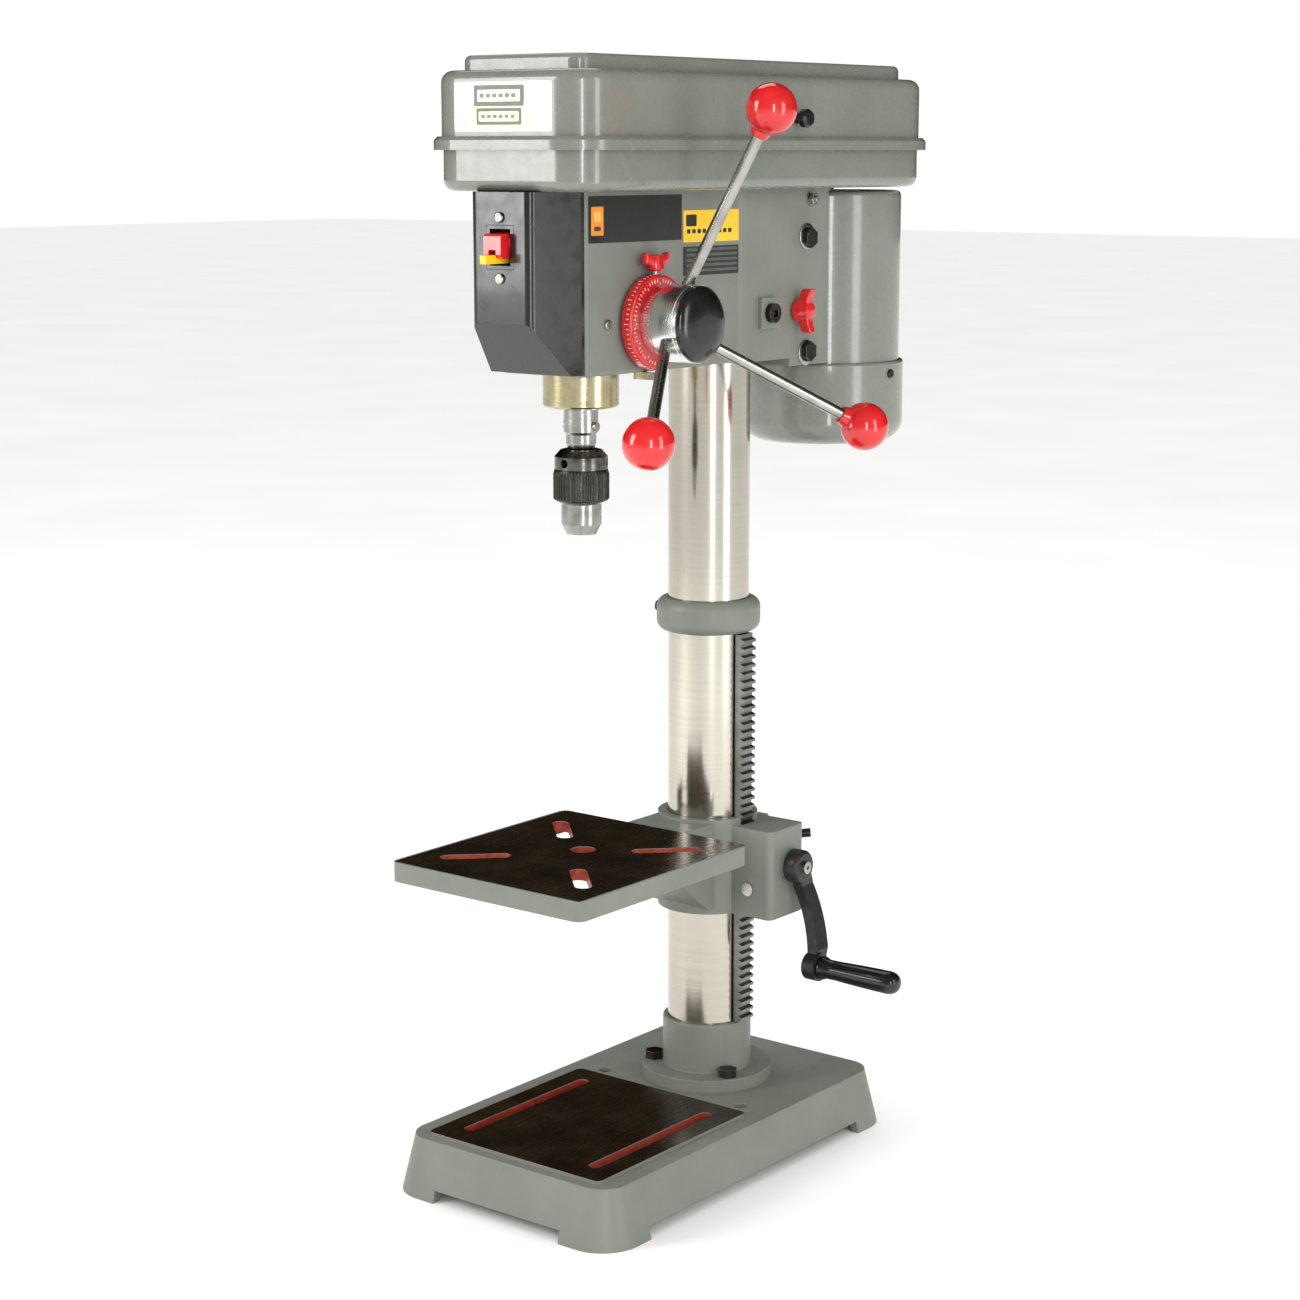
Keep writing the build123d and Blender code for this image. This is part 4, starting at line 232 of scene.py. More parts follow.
def cast_enamel(name, colours, machined=(), slots=()):
    # Enamel brushed over filled sand castings: coarser, with soft lumps and pale corners.
    # A machined box is planed iron under oil; a slot box shows its red primer.
    material, tree, bsdf = new_material(name, IOR=1.5)
    normal, edges = soft_edges(tree, 1.2)
    cloud = mix(tree, spread(tree, spots(tree, 45, 4), 0, 1), shade(colours.enamel, 0.9),
                shade(colours.enamel, 1.06))
    worn = add_node(tree, "ShaderNodeMath", {0: edges, 1: 0.45}, operation="MULTIPLY")
    colour = mix(tree, worn.outputs["Value"], cloud, colours.enamel_worn)
    rough = spread(tree, spots(tree, 6, 3), 0.36, 0.52)
    metal = 0.0
    geometry = add_node(tree, "ShaderNodeNewGeometry").outputs["Normal"]
    up = add_node(tree, "ShaderNodeSeparateXYZ", {"Vector": geometry}).outputs["Z"]
    level = add_node(tree, "ShaderNodeMath", {0: up, 1: 0.8}, operation="GREATER_THAN")
    for low, high in slots:
        upright = add_node(tree, "ShaderNodeMath", {0: 1.0, 1: level.outputs["Value"]},
                           operation="SUBTRACT").outputs["Value"]
        wall = add_node(tree, "ShaderNodeMath", {0: inside(tree, low, high), 1: upright},
                        operation="MULTIPLY").outputs["Value"]
        rust = mix(tree, spread(tree, spots(tree, 5, 3), 0, 1), shade(colours.primer, 0.6),
                   colours.primer)
        colour = mix(tree, wall, colour, rust)
    for low, high in machined:
        plane = add_node(tree, "ShaderNodeMath", {
            0: inside(tree, low, high), 1: level.outputs["Value"]},
            operation="MULTIPLY").outputs["Value"]
        # Planing marks are 0.4 mm apart; they are drawn 1.5 mm apart so that they show.
        lay = spots(tree, 1.5, 2, (1.0, 0.03, 1.0))
        stain = spread(tree, spots(tree, 34, 5), 0, 1)
        planed = mix(tree, stain, shade(colours.machined, 0.45), shade(colours.machined, 1.25))
        planed = mix(tree, spread(tree, lay, 0, 0.03), planed, shade(colours.column, 0.4))
        colour = mix(tree, plane, colour, planed)
        film = spread(tree, lay, 0.24, 0.3)
        rough = add_node(tree, "ShaderNodeMix", {0: plane, 2: rough, 3: film}).outputs[0]
        metal = add_node(tree, "ShaderNodeMath", {0: plane, 1: 0.6},
                         operation="MULTIPLY").outputs["Value"]
        tree.links.new(metal, bsdf.inputs["Metallic"])
    tree.links.new(colour, bsdf.inputs["Base Color"])
    tree.links.new(rough, bsdf.inputs["Roughness"])
    relief(tree, bsdf, spots(tree, 3.5, 3), 0.03, normal)
    return material


def ground_steel(name, colours):
    # Centreless-ground tube, polished: mirror-like, with fine rings and hazy oil stains.
    material, tree, bsdf = new_material(name, Metallic=1.0)
    stain = spread(tree, spots(tree, 60, 5, (1.0, 1.0, 0.35)), 0, 1)
    rings = spots(tree, 1.6, 2, (0.02, 0.02, 1.0))
    colour = mix(tree, stain, shade(colours.column, 0.82), colours.column)
    colour = mix(tree, spread(tree, rings, 0, 0.08), colour, shade(colours.machined, 1.6))
    tree.links.new(colour, bsdf.inputs["Base Color"])
    tree.links.new(spread(tree, rings, 0.14, 0.2), bsdf.inputs["Roughness"])
    relief(tree, bsdf, rings, 0.0015)
    return material


def turned_metal(name, colour, dark, polish, line_mm, lines=(0.03, 0.03, 1.0), metallic=1.0):
    """Turned or drawn metal: tool lines line_mm apart and a patchy lustre."""
    material, tree, bsdf = new_material(name, Metallic=metallic)
    tool = spots(tree, line_mm, 2, lines)
    patch = spread(tree, spots(tree, 14, 4), 0, 1)
    base = mix(tree, patch, shade(colour, dark), colour)
    tree.links.new(base, bsdf.inputs["Base Color"])
    tree.links.new(spread(tree, tool, polish, polish + 0.12), bsdf.inputs["Roughness"])
    relief(tree, bsdf, tool, 0.006)
    return material


def milled_steel(name, colours):
    # Milled rack and gear steel: dull grey flanks under a film of grease.
    return turned_metal(name, shade(colours.steel, 0.62), 0.6, 0.3, 1.2, (1.0, 0.05, 0.4))


def bright_steel(name, colours):
    # Drawn and turned bar: clean grey metal with fine lines around it.
    return turned_metal(name, colours.steel, 0.7, 0.18, 0.9)


def chrome_plate(name, colours):
    # Chrome over turned steel: near mirror, with the tool rings just visible.
    return turned_metal(name, colours.chrome, 0.85, 0.16, 1.4, (1.0, 0.03, 0.03))


def straw_steel(name, colours):
    # Hardened guide steel with a temper tint: warm, bright and finely turned.
    return turned_metal(name, colours.straw, 0.7, 0.16, 1.0)


def chuck_steel(name, colours):
    # Case-hardened chuck body: smoked dark above, ground bright at the nose.
    material, tree, bsdf = new_material(name, Metallic=1.0)
    low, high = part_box("chuck_body")
    nose = inside(tree, (low.x, low.y, low.z - MM), (high.x, high.y, low.z + 22 * MM))
    tool = spots(tree, 1.0, 2, (0.03, 0.03, 1.0))
    smoked = mix(tree, spread(tree, spots(tree, 9, 4), 0, 1), shade(colours.oxide, 1.4),
                 shade(colours.steel, 0.4))
    bright = mix(tree, spread(tree, spots(tree, 9, 4), 0, 1), shade(colours.steel, 0.55),
                 shade(colours.steel, 0.9))
    tree.links.new(mix(tree, nose, smoked, bright), bsdf.inputs["Base Color"])
    tree.links.new(spread(tree, tool, 0.16, 0.28), bsdf.inputs["Roughness"])
    relief(tree, bsdf, tool, 0.004)
    return material


def black_oxide(name, colours):
    # Blackened steel: deep brown-black with a satin sheen and bright rubbed corners.
    material, tree, bsdf = new_material(name, Metallic=0.9)
    normal, edges = soft_edges(tree, 0.35)
    rub = add_node(tree, "ShaderNodeMath", {0: edges, 1: 0.5}, operation="MULTIPLY")
    cloud = mix(tree, spread(tree, spots(tree, 8, 4), 0, 1), shade(colours.oxide, 0.7),
                shade(colours.oxide, 1.5))
    tree.links.new(mix(tree, rub.outputs["Value"], cloud, colours.steel),
                   bsdf.inputs["Base Color"])
    tree.links.new(spread(tree, spots(tree, 3, 3), 0.24, 0.42), bsdf.inputs["Roughness"])
    relief(tree, bsdf, spots(tree, 1.2), 0.01, normal)
    return material


def moulded_plastic(name, colour, low, high, grain_mm, coat=0.0):
    """Injection-moulded plastic: even colour, soft corners and a fine mould texture."""
    material, tree, bsdf = new_material(name, IOR=1.5, Coat_Weight=coat, Coat_Roughness=0.05)
    normal, edges = soft_edges(tree, 0.5)
    cloud = mix(tree, spread(tree, spots(tree, 22, 3), 0, 1), shade(colour, 0.86),
                shade(colour, 1.06))
    lift = add_node(tree, "ShaderNodeMath", {0: edges, 1: 0.2}, operation="MULTIPLY")
    pale = [0.8 * channel + 0.1 for channel in colour]
    tree.links.new(mix(tree, lift.outputs["Value"], cloud, pale), bsdf.inputs["Base Color"])
    tree.links.new(spread(tree, spots(tree, 9, 3), low, high), bsdf.inputs["Roughness"])
    relief(tree, bsdf, spots(tree, grain_mm), 0.002, normal)
    return material


def brushed_black(name, colours):
    # Thick black enamel on a rough casting: painted sheen makes its lumps lighter and painted shade
    # makes its hollows darker.
    material, tree, bsdf = new_material(name, IOR=1.5)
    lump_height_and_sheen = spots(tree, 4, 4)
    # Painted sheen and painted shade: the colour follows the lump height, lighter on the lumps and
    # darker in the hollows.
    tree.links.new(mix(tree, spread(tree, lump_height_and_sheen, 0, 1), shade(colours.black, 0.7),
                       shade(colours.black, 1.6)), bsdf.inputs["Base Color"])
    tree.links.new(spread(tree, spots(tree, 7, 3), 0.3, 0.5), bsdf.inputs["Roughness"])
    relief(tree, bsdf, lump_height_and_sheen, 0.12)
    return material


def belt_rubber(name, colours):
    # Cloth-wrapped rubber: matt, with the weave drawn 1 mm wide so that it shows.
    material, tree, bsdf = new_material(name, IOR=1.52)
    weave = spots(tree, 1.0, 1, (1.0, 1.0, 2.0))
    tree.links.new(mix(tree, weave, shade(colours.rubber, 0.6), shade(colours.rubber, 2.0)),
                   bsdf.inputs["Base Color"])
    tree.links.new(spread(tree, weave, 0.65, 0.85), bsdf.inputs["Roughness"])
    relief(tree, bsdf, weave, 0.08)
    return material


def motor_core(name, colours):
    # Stacked laminations, drawn 1 mm apart, with varnished copper at the ends.
    material, tree, bsdf = new_material(name, Metallic=0.8)
    low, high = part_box("motor_stator")
    reach = 14 * MM
    core = inside(tree, (low.x, low.y, low.z + reach), (high.x, high.y, high.z - reach))
    sheets = spots(tree, 1.0, 0, (0.01, 0.01, 1.0))
    iron = mix(tree, spread(tree, sheets, 0, 1), shade(colours.iron, 0.6), colours.iron)
    wire = mix(tree, spread(tree, spots(tree, 1.2, 1), 0, 1), shade(colours.copper, 0.5),
               colours.copper)
    tree.links.new(mix(tree, core, wire, iron), bsdf.inputs["Base Color"])
    tree.links.new(spread(tree, sheets, 0.35, 0.5), bsdf.inputs["Roughness"])
    relief(tree, bsdf, sheets, 0.1)
    return material


def printed_vinyl(name, colour):
    # Screen-printed vinyl under clear lacquer: flat colour with a soft shine.
    material, tree, bsdf = new_material(name, IOR=1.46, Coat_Weight=0.5, Coat_Roughness=0.1)
    tone = mix(tree, spread(tree, spots(tree, 12, 3), 0, 1), shade(colour, 0.9), colour)
    tree.links.new(tone, bsdf.inputs["Base Color"])
    tree.links.new(spread(tree, spots(tree, 4, 2), 0.35, 0.5), bsdf.inputs["Roughness"])
    relief(tree, bsdf, spots(tree, 0.8), 0.004)
    return material


# ---- modelling ----------------------------------------------------------------------
def apply_place(piece):
    """Puts the place, turn and size of the piece into its mesh."""
    bpy.ops.object.transform_apply(location=True, rotation=True, scale=True)
    return piece


def start(kind, **settings):
    """Adds one primitive alone in the selection."""
    bpy.ops.object.select_all(action="DESELECT")
    getattr(bpy.ops.mesh, f"primitive_{kind}_add")(**settings)
    return apply_place(bpy.context.active_object)


def edit(piece, mode, test, *work):
    """Selects the edges or faces that pass the test and runs edit-mode steps on them."""
    bpy.context.view_layer.objects.active = piece
    bpy.ops.object.mode_set(mode="EDIT")
    bpy.ops.mesh.select_mode(type=mode)
    bpy.ops.mesh.select_all(action="DESELECT")
    bpy.ops.object.mode_set(mode="OBJECT")
    mesh = piece.data
    if mode == "FACE":
        for face in mesh.polygons:
            face.select = test(face.center, face.normal)
    else:
        for edge in mesh.edges:
            ends = [mesh.vertices[i].co for i in edge.vertices]
            edge.select = test((ends[0] + ends[1]) / 2, (ends[1] - ends[0]).normalized())
    bpy.ops.object.mode_set(mode="EDIT")
    for step in work:
        step()
    bpy.ops.object.mode_set(mode="OBJECT")


def lathe(rings, centre, axis, sides=48, closed=False):
    """Turns a solid: a circle is extruded along the axis, ring by ring, and resized.
    rings are (radius, offset) pairs; a closed one ends where it began, as a washer does."""
    along = AXES[axis]
    across = Vector((1, 1, 1)) - along
    turn = {"X": (0, math.pi / 2, 0), "Y": (-math.pi / 2, 0, 0), "Z": (0, 0, 0)}[axis]
    radius, offset = rings[0]
    piece = start("circle", vertices=sides, radius=radius, rotation=turn,
                  fill_type="NOTHING" if closed else "NGON", location=centre + along * offset)
    bpy.ops.object.mode_set(mode="EDIT")
    bpy.ops.mesh.select_mode(type="EDGE")
    bpy.ops.mesh.select_all(action="SELECT")
    for next_radius, next_offset in rings[1:]:
        bpy.ops.mesh.extrude_region_move(
            TRANSFORM_OT_translate={"value": along * (next_offset - offset)})
        bpy.ops.transform.resize(value=along + across * (next_radius / radius),
                                 center_override=centre + along * next_offset)
        radius, offset = next_radius, next_offset
    bpy.ops.mesh.select_all(action="SELECT")
    bpy.ops.mesh.remove_doubles(threshold=0.01 * MM)
    bpy.ops.mesh.normals_make_consistent(inside=False)
    bpy.ops.object.mode_set(mode="OBJECT")
    return piece


def join(pieces):
    """Joins pieces into the first one."""
    bpy.ops.object.select_all(action="DESELECT")
    for piece in pieces:
        piece.select_set(True)
    bpy.context.view_layer.objects.active = pieces[0]
    bpy.ops.object.join()
    return pieces[0]


def dress(piece, material):
    """Gives the piece one material."""
    piece.data.materials.clear()
    piece.data.materials.append(material)
    return piece


def place(piece, name, body, slot, angle=35):
    """Names the piece, smooths it by angle and lets it ride on its body."""
    piece.name = name
    piece.data.name = name
    bpy.ops.object.select_all(action="DESELECT")
    piece.select_set(True)
    bpy.context.view_layer.objects.active = piece
    bpy.ops.object.shade_smooth_by_angle(angle=math.radians(angle))
    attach(piece, body)
    return piece


def block(low, high):
    """A plain block between two corners."""
    middle = [(a + b) / 2 for a, b in zip(low, high)]
    size = [b - a for a, b in zip(low, high)]
    return start("cube", size=1, location=middle, scale=size)


def bevelled_box(low, high, radius, segments=3):
    """A box between two corners with all its edges rounded."""
    piece = block(low, high)
    edit(piece, "EDGE", lambda centre, along: True,
         lambda: bpy.ops.mesh.bevel(offset=radius, segments=segments, affect="EDGES"))
    return piece


def printed_plate(low, high, normal, corner, material):
    """A thin label between two corners, with its outline's corners rounded."""
    piece = block(low, high)
    facing = AXES[normal]
    edit(piece, "EDGE", lambda centre, along: abs(along.dot(facing)) > 0.9,
         lambda: bpy.ops.mesh.bevel(offset=corner, segments=4, affect="EDGES"))
    return dress(piece, material)


# ---- operators ----------------------------------------------------------------------
FINISHES = {}


class DRILLPRESS_OT_finishes(bpy.types.Operator):
    """Gives every CAD node the finish that its slot stands for"""
    bl_idname = "drillpress.finishes"
    bl_label = "Finishes"

    def execute(self, context):
        colours = context.scene.drill_press_colours
        FINISHES.update({
            "grey_paint": sheet_enamel("stoved grey enamel on steel", colours),
            "column_steel": ground_steel("ground and polished steel tube", colours),
            "bright_steel": bright_steel("bright turned steel", colours),
            "chrome_steel": chrome_plate("chrome-plated steel", colours),
            "guide_steel": straw_steel("straw-tinted guide steel", colours),
            "black_oxide": black_oxide("black oxide steel", colours),
            "black_plastic": moulded_plastic("moulded black ABS", colours.plastic, 0.16, 0.3,
                                             0.9, 0.3),
            "red_plastic": moulded_plastic("red phenolic", colours.red, 0.12, 0.24, 1.5, 0.6),
            "yellow_plastic": moulded_plastic("yellow nylon", colours.yellow, 0.3, 0.4, 0.9),
            "black_paint": brushed_black("black enamel on cast iron", colours),
            "belt_rubber": belt_rubber("cloth-wrapped belt rubber", colours),
            "pulley_alloy": turned_metal("turned pulley alloy", colours.alloy, 0.8, 0.3, 1.0),
            "winding_iron": motor_core("laminations and windings", colours),
            "gear_steel": milled_steel("milled gear steel", colours),
        })
        cast = cast_enamel("grey enamel on cast iron", colours)
        for part in frame["record"]["subparts"]:
            dress(NODES[part["node"]], FINISHES[part["material_slot"]])
        for node in ("head_casting", "rack_collar", "column_flange"):
            dress(NODES[node], cast)
        dress(NODES["base_casting"], self.base(colours))
        dress(NODES["table_casting"], self.table(colours))
        dress(NODES["chuck_body"], chuck_steel("smoked and ground chuck steel", colours))
        return {"FINISHED"}

    def base(self, colours):
        """The base: enamel with an oiled pad on top and primer in its slots."""
        low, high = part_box("base_casting")
        top = high.z
        skin = top - 0.4 * MM
        pad_half, pad_length, pad_inset = 79 * MM, 172 * MM, 19 * MM
        slot_x, slot_half, slot_inset, slot_depth = 58 * MM, 8 * MM, 4 * MM, 12 * MM
        front = low.y + pad_inset
        back = front + pad_length
        planed = ((-pad_half, front, skin), (pad_half, back, top + MM))
        walls = [((side * slot_x - slot_half, front + slot_inset, top - slot_depth),
                  (side * slot_x + slot_half, back - slot_inset, skin))
                 for side in (-1, 1)]
        return cast_enamel("enamelled base, planed pad", colours, [planed], walls)

    def table(self, colours):
        """The table: enamel with a planed top and primer in its slots."""
        low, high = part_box("table_casting")
        top = high.z - 0.8 * MM  # The sleeve round the column is this much higher.
        half, plate_length = 86 * MM, 190 * MM
        rim, skin, slot_inset, slot_depth = 2 * MM, 0.3 * MM, 8 * MM, 15 * MM
        front = low.y
        back = front + plate_length
        planed = ((-half + rim, front + rim, top - skin), (half - rim, back, top + skin))
        walls = [((-half + slot_inset, front + slot_inset, top - slot_depth),
                  (half - slot_inset, back - slot_inset, top - skin))]
        return cast_enamel("enamelled table, planed top", colours, [planed], walls)


class DRILLPRESS_OT_labels(bpy.types.Operator):
    """Adds the printed labels, with plain bars and boxes in place of words"""
    bl_idname = "drillpress.labels"
    bl_label = "Labels"

    def execute(self, context):
        colours = context.scene.drill_press_colours
        thick = context.scene.drill_press_sizes.label_thick
        inks = {"cream": printed_vinyl("cream vinyl", colours.cream),
                "pale": printed_vinyl("pale yellow vinyl", linear("fbf2b4")),
                "olive": printed_vinyl("olive vinyl", linear("3f3d27")),
                "yellow": printed_vinyl("yellow vinyl", colours.yellow),
                "black": printed_vinyl("black vinyl", colours.plastic),
                "grey": printed_vinyl("grey vinyl", shade(colours.enamel, 0.5)),
                "orange": printed_vinyl("orange vinyl", linear("f08a1c")),
                "amber": printed_vinyl("amber vinyl", linear("ffb445"))}
        self.lid_label(inks, thick)
        self.head_labels(inks, thick)
        return {"FINISHED"}

    def lid_label(self, inks, thick):
        """The rating plate on the lid's front: a framed sheet with two boxed fields."""
        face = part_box("belt_cover_lid")[0].y + 5.5 * MM
        middle = 766 * MM

        def plate(x0, x1, z0, z1, rise, ink):
            return printed_plate((x0 * MM, face - rise * thick, middle + z0 * MM),
                                 (x1 * MM, face + thick, middle + z1 * MM), "Y", MM, inks[ink])

        sheets = [plate(-42, 42, -16, 16, 1, "cream"), plate(-27, 24, -14.5, 3, 1.5, "pale")]
        for x0, x1, z0, z1, rim in ((-24.5, 18.5, 0.2, 13.8, 3.0), (-22.5, 16.5, -11.8, -1.0, 2.2)):
            sheets.append(plate(x0, x1, z0, z1, 2.0, "olive"))
            sheets.append(plate(x0 + rim, x1 - rim, z0 + rim, z1 - rim, 2.5, "pale"))
            step = (x1 - x0 - 2 * rim - 4) / 6
            for bar in range(6):
                left = x0 + rim + 2 + bar * step
                sheets.append(plate(left, left + 0.7 * step, z0 + 0.4 * (z1 - z0),
                                    z0 + 0.6 * (z1 - z0), 3.0, "grey"))
        place(join(sheets), "lid_label", "lid", "yellow_plastic")

    def head_labels(self, inks, thick):
        """The black band, the yellow warning strip and the speed strip on the head's side."""
        face = 38 * MM

        def strip(y0, y1, z0, z1, rise, ink):
            return printed_plate((face - thick, y0 * MM, z0 * MM),
                                 (face + rise * thick, y1 * MM, z1 * MM), "X", MM, inks[ink])

        band = [strip(-185.6, -84, 677, 708, 1, "black"),
                strip(-183, -170, 682, 701, 1.5, "orange"),
                strip(-180, -173, 685, 688, 2, "olive"), strip(-180, -173, 691, 698, 2, "amber")]
        place(join(band), "head_band_label", "head", "black_plastic")
        warning = [strip(-82, -16, 675, 697, 1, "yellow")]
        warning += [strip(-78 + 6 * bar, -74 + 6 * bar, 681, 684, 1.5, "black") for bar in range(9)]
        warning.append(strip(-79, -67, 686, 694, 1.5, "black"))
        place(join(warning), "head_warning_label", "head", "yellow_plastic")
        speeds = [strip(-82, -16, 652, 672, 1, "black")]
        speeds += [strip(-79, -19, 654.5 + 3.6 * row, 656.3 + 3.6 * row, 1.5, "grey")
                   for row in range(5)]
        place(join(speeds), "head_speed_label", "head", "black_plastic")


class DRILLPRESS_OT_depth_scale(bpy.types.Operator):
    """Marks the depth ring with raised lines around its face and rim"""
    bl_idname = "drillpress.depth_scale"
    bl_label = "Depth Scale"

    def execute(self, context):
        marks = context.scene.drill_press_sizes.scale_marks
        low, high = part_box("depth_ring")
        centre = Vector(((low.x + high.x) / 2, (low.y + high.y) / 2, (low.z + high.z) / 2))
        radius = (high.z - low.z) / 2
        white = printed_vinyl("white scale ink", linear("f1efe6"))
        lines = []
        for spacing, reach in ((1, 2.2), (5, 3.8)):
            for x0, x1, r0, r1 in ((high.x - 0.3 * MM, high.x + 0.15 * MM, 0.9 * radius,
                                    0.9 * radius - reach * MM),
                                   (high.x - (1.8 + reach) * MM, high.x - 2.2 * MM,
                                    radius + 0.12 * MM, radius - 0.3 * MM)):
                mark = bevelled_box((x0, centre.y - 0.3 * MM, centre.z + r1),
                                    (x1, centre.y + 0.3 * MM, centre.z + r0), 0.05 * MM, 1)
                count = marks // spacing
                edit(mark, "FACE", lambda middle, normal: True,
                     lambda: bpy.ops.mesh.spin(steps=count - 1, dupli=True,
                                               angle=2 * math.pi * (count - 1) / count,
                                               center=centre, axis=(1, 0, 0)))
                lines.append(mark)
        scale = dress(join(lines), white)
        place(scale, "depth_scale_marks", "depth_ring", "red_plastic")
        return {"FINISHED"}


class DRILLPRESS_OT_crank_grip(bpy.types.Operator):
    """Turns the crank's loose grip, with a flared collar and a domed end"""
    bl_idname = "drillpress.crank_grip"
    bl_label = "Crank Grip"

    def execute(self, context):
        sizes = context.scene.drill_press_sizes
        low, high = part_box("crank_grip")
        centre = Vector((0, (low.y + high.y) / 2, (low.z + high.z) / 2))
        full = (high.z - low.z) / 2
        reach = high.x - low.x
        waist = sizes.grip_waist
        collar, throat, straight, dome = 4 * MM, 6.5 * MM, 14 * MM, 8 * MM
        rings = [(0.55 * full, low.x), (0.97 * full, low.x), (full, low.x + 0.8 * MM),
                 (full, low.x + collar), (waist, low.x + throat), (waist, low.x + straight)]
        steps = 8
        for step in range(1, steps + 1):
            share = step / steps
            swell = waist + (full - waist) * math.sin(share * math.pi / 2)
            rings.append((swell, low.x + straight + share * (reach - straight - dome)))
        for step in range(1, 6):
            turn = step / 5 * math.pi / 2
            rings.append((full * (0.25 + 0.75 * math.cos(turn)),
                          high.x - dome + dome * math.sin(turn)))
        grip = dress(lathe(rings, centre, "X"), FINISHES["black_plastic"])
        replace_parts(place(grip, "turned_grip", "grip", "black_plastic"), "crank_grip")
        return {"FINISHED"}


class DRILLPRESS_OT_feed_hub(bpy.types.Operator):
    """Turns the stepped chrome hub of the feed handle and its black domed cap"""
    bl_idname = "drillpress.feed_hub"
    bl_label = "Feed Hub"

    def execute(self, context):
        low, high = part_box("feed_hub")
        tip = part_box("hub_cap")[1].x
        centre = Vector((0, (low.y + high.y) / 2, (low.z + high.z) / 2))
        full = (high.z - low.z) / 2
        seam = low.x + 0.8 * (tip - low.x)
        neck = 0.86 * full
        rings = [(0.5 * full, low.x), (neck, low.x), (neck, low.x + 5 * MM),
                 (neck + 0.4 * MM, low.x + 5.6 * MM), (neck + 0.4 * MM, low.x + 8 * MM),
                 (full - 1.4 * MM, low.x + 10 * MM), (full, low.x + 11.5 * MM),
                 (full, seam - 3.4 * MM), (full - 0.7 * MM, seam - 3.0 * MM),
                 (full - 0.7 * MM, seam - 2.4 * MM), (full, seam - 2.0 * MM), (full, seam),
                 (0.6 * full, seam)]
        hub = dress(lathe(rings, centre, "X", 72), FINISHES["chrome_steel"])
        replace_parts(place(hub, "turned_hub", "feed", "chrome_steel", 25), "feed_hub")
        rings = [(0.5 * full, seam), (full - 0.5 * MM, seam)]
        for step in range(1, 13):
            turn = step / 12 * math.pi / 2
            rings.append(((full - 0.5 * MM) * max(0.02, math.cos(turn) ** 0.62),
                          seam + 1.5 * MM + (tip - seam - 1.5 * MM) * math.sin(turn) ** 1.25))
        dome = dress(lathe(rings, centre, "X", 72), FINISHES["black_plastic"])
        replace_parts(place(dome, "domed_cap", "feed", "black_plastic"), "hub_cap")
        return {"FINISHED"}


class DRILLPRESS_OT_wing_knobs(bpy.types.Operator):
    """Models the red wing knobs on the depth ring and on the motor slide"""
    bl_idname = "drillpress.wing_knobs"
    bl_label = "Wing Knobs"

    def execute(self, context):
        span = context.scene.drill_press_sizes.wing_span
        low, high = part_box("ring_lock_knob")
        foot = Vector(((low.x + high.x) / 2, (low.y + high.y) / 2, high.z - 12 * MM))
        ring = self.knob(foot, "Z", "Y", 5.6 * MM, span, 13.5 * MM)
        stem = dress(lathe([(2.5 * MM, low.z - foot.z), (2.5 * MM, MM)], foot, "Z", 24),
                     FINISHES["bright_steel"])
        piece = place(join([ring, stem]), "ring_wing_knob", "ring_knob", "red_plastic")
        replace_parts(piece, "ring_lock_knob")
        low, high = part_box("tension_knob")
        foot = Vector((high.x - 15.6 * MM, (low.y + high.y) / 2, (low.z + high.z) / 2))
        slide = self.knob(foot, "X", "Z", 8.5 * MM, (high.z - low.z) / 2, 15.6 * MM)
        stem = dress(lathe([(4 * MM, low.x - foot.x), (4 * MM, MM)], foot, "X", 24),
                     FINISHES["bright_steel"])
        piece = place(join([slide, stem]), "slide_wing_knob", "tension_knob", "red_plastic")
        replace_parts(piece, "tension_knob")
        return {"FINISHED"}

    def knob(self, foot, axis, across, boss, span, rise):
        """A fluted boss with two flared wings, growing along the axis from its foot."""
        along = AXES[axis]
        side = AXES[across]
        other = Vector((1, 1, 1)) - along - side
        rings = [(0.8 * boss, 0), (boss, 0.1 * rise), (boss, 0.35 * rise), (0.8 * boss, 0.6 * rise),
                 (0.72 * boss, 0.78 * rise), (0.4 * boss, 0.84 * rise)]
        pieces = [lathe(rings, foot, axis, 32)]
        half = 0.3 * boss + 1.4 * MM
        root = 0.35 * boss
        for way in (-1, 1):
            near = foot + along * 0.22 * rise + side * way * root - other * half
            far = foot + along * 0.78 * rise + side * way * 0.55 * span + other * half
            wing = block([min(a, b) for a, b in zip(near, far)],
                         [max(a, b) for a, b in zip(near, far)])
            tip = side * way * 0.45 * span + along * 0.18 * rise
            edit(wing, "FACE", lambda centre, normal: normal.dot(side) * way > 0.9,
                 lambda: bpy.ops.mesh.extrude_region_move(
                     TRANSFORM_OT_translate={"value": tip}),
                 lambda: bpy.ops.transform.resize(
                     value=along * 1.05 + side + other * 0.8,
                     center_override=foot + along * 0.72 * rise + side * way * span))
            edit(wing, "EDGE", lambda centre, along_edge: True,
                 lambda: bpy.ops.mesh.bevel(offset=1.3 * MM, segments=4, affect="EDGES"))
            pieces.append(wing)
        return dress(join(pieces), FINISHES["red_plastic"])


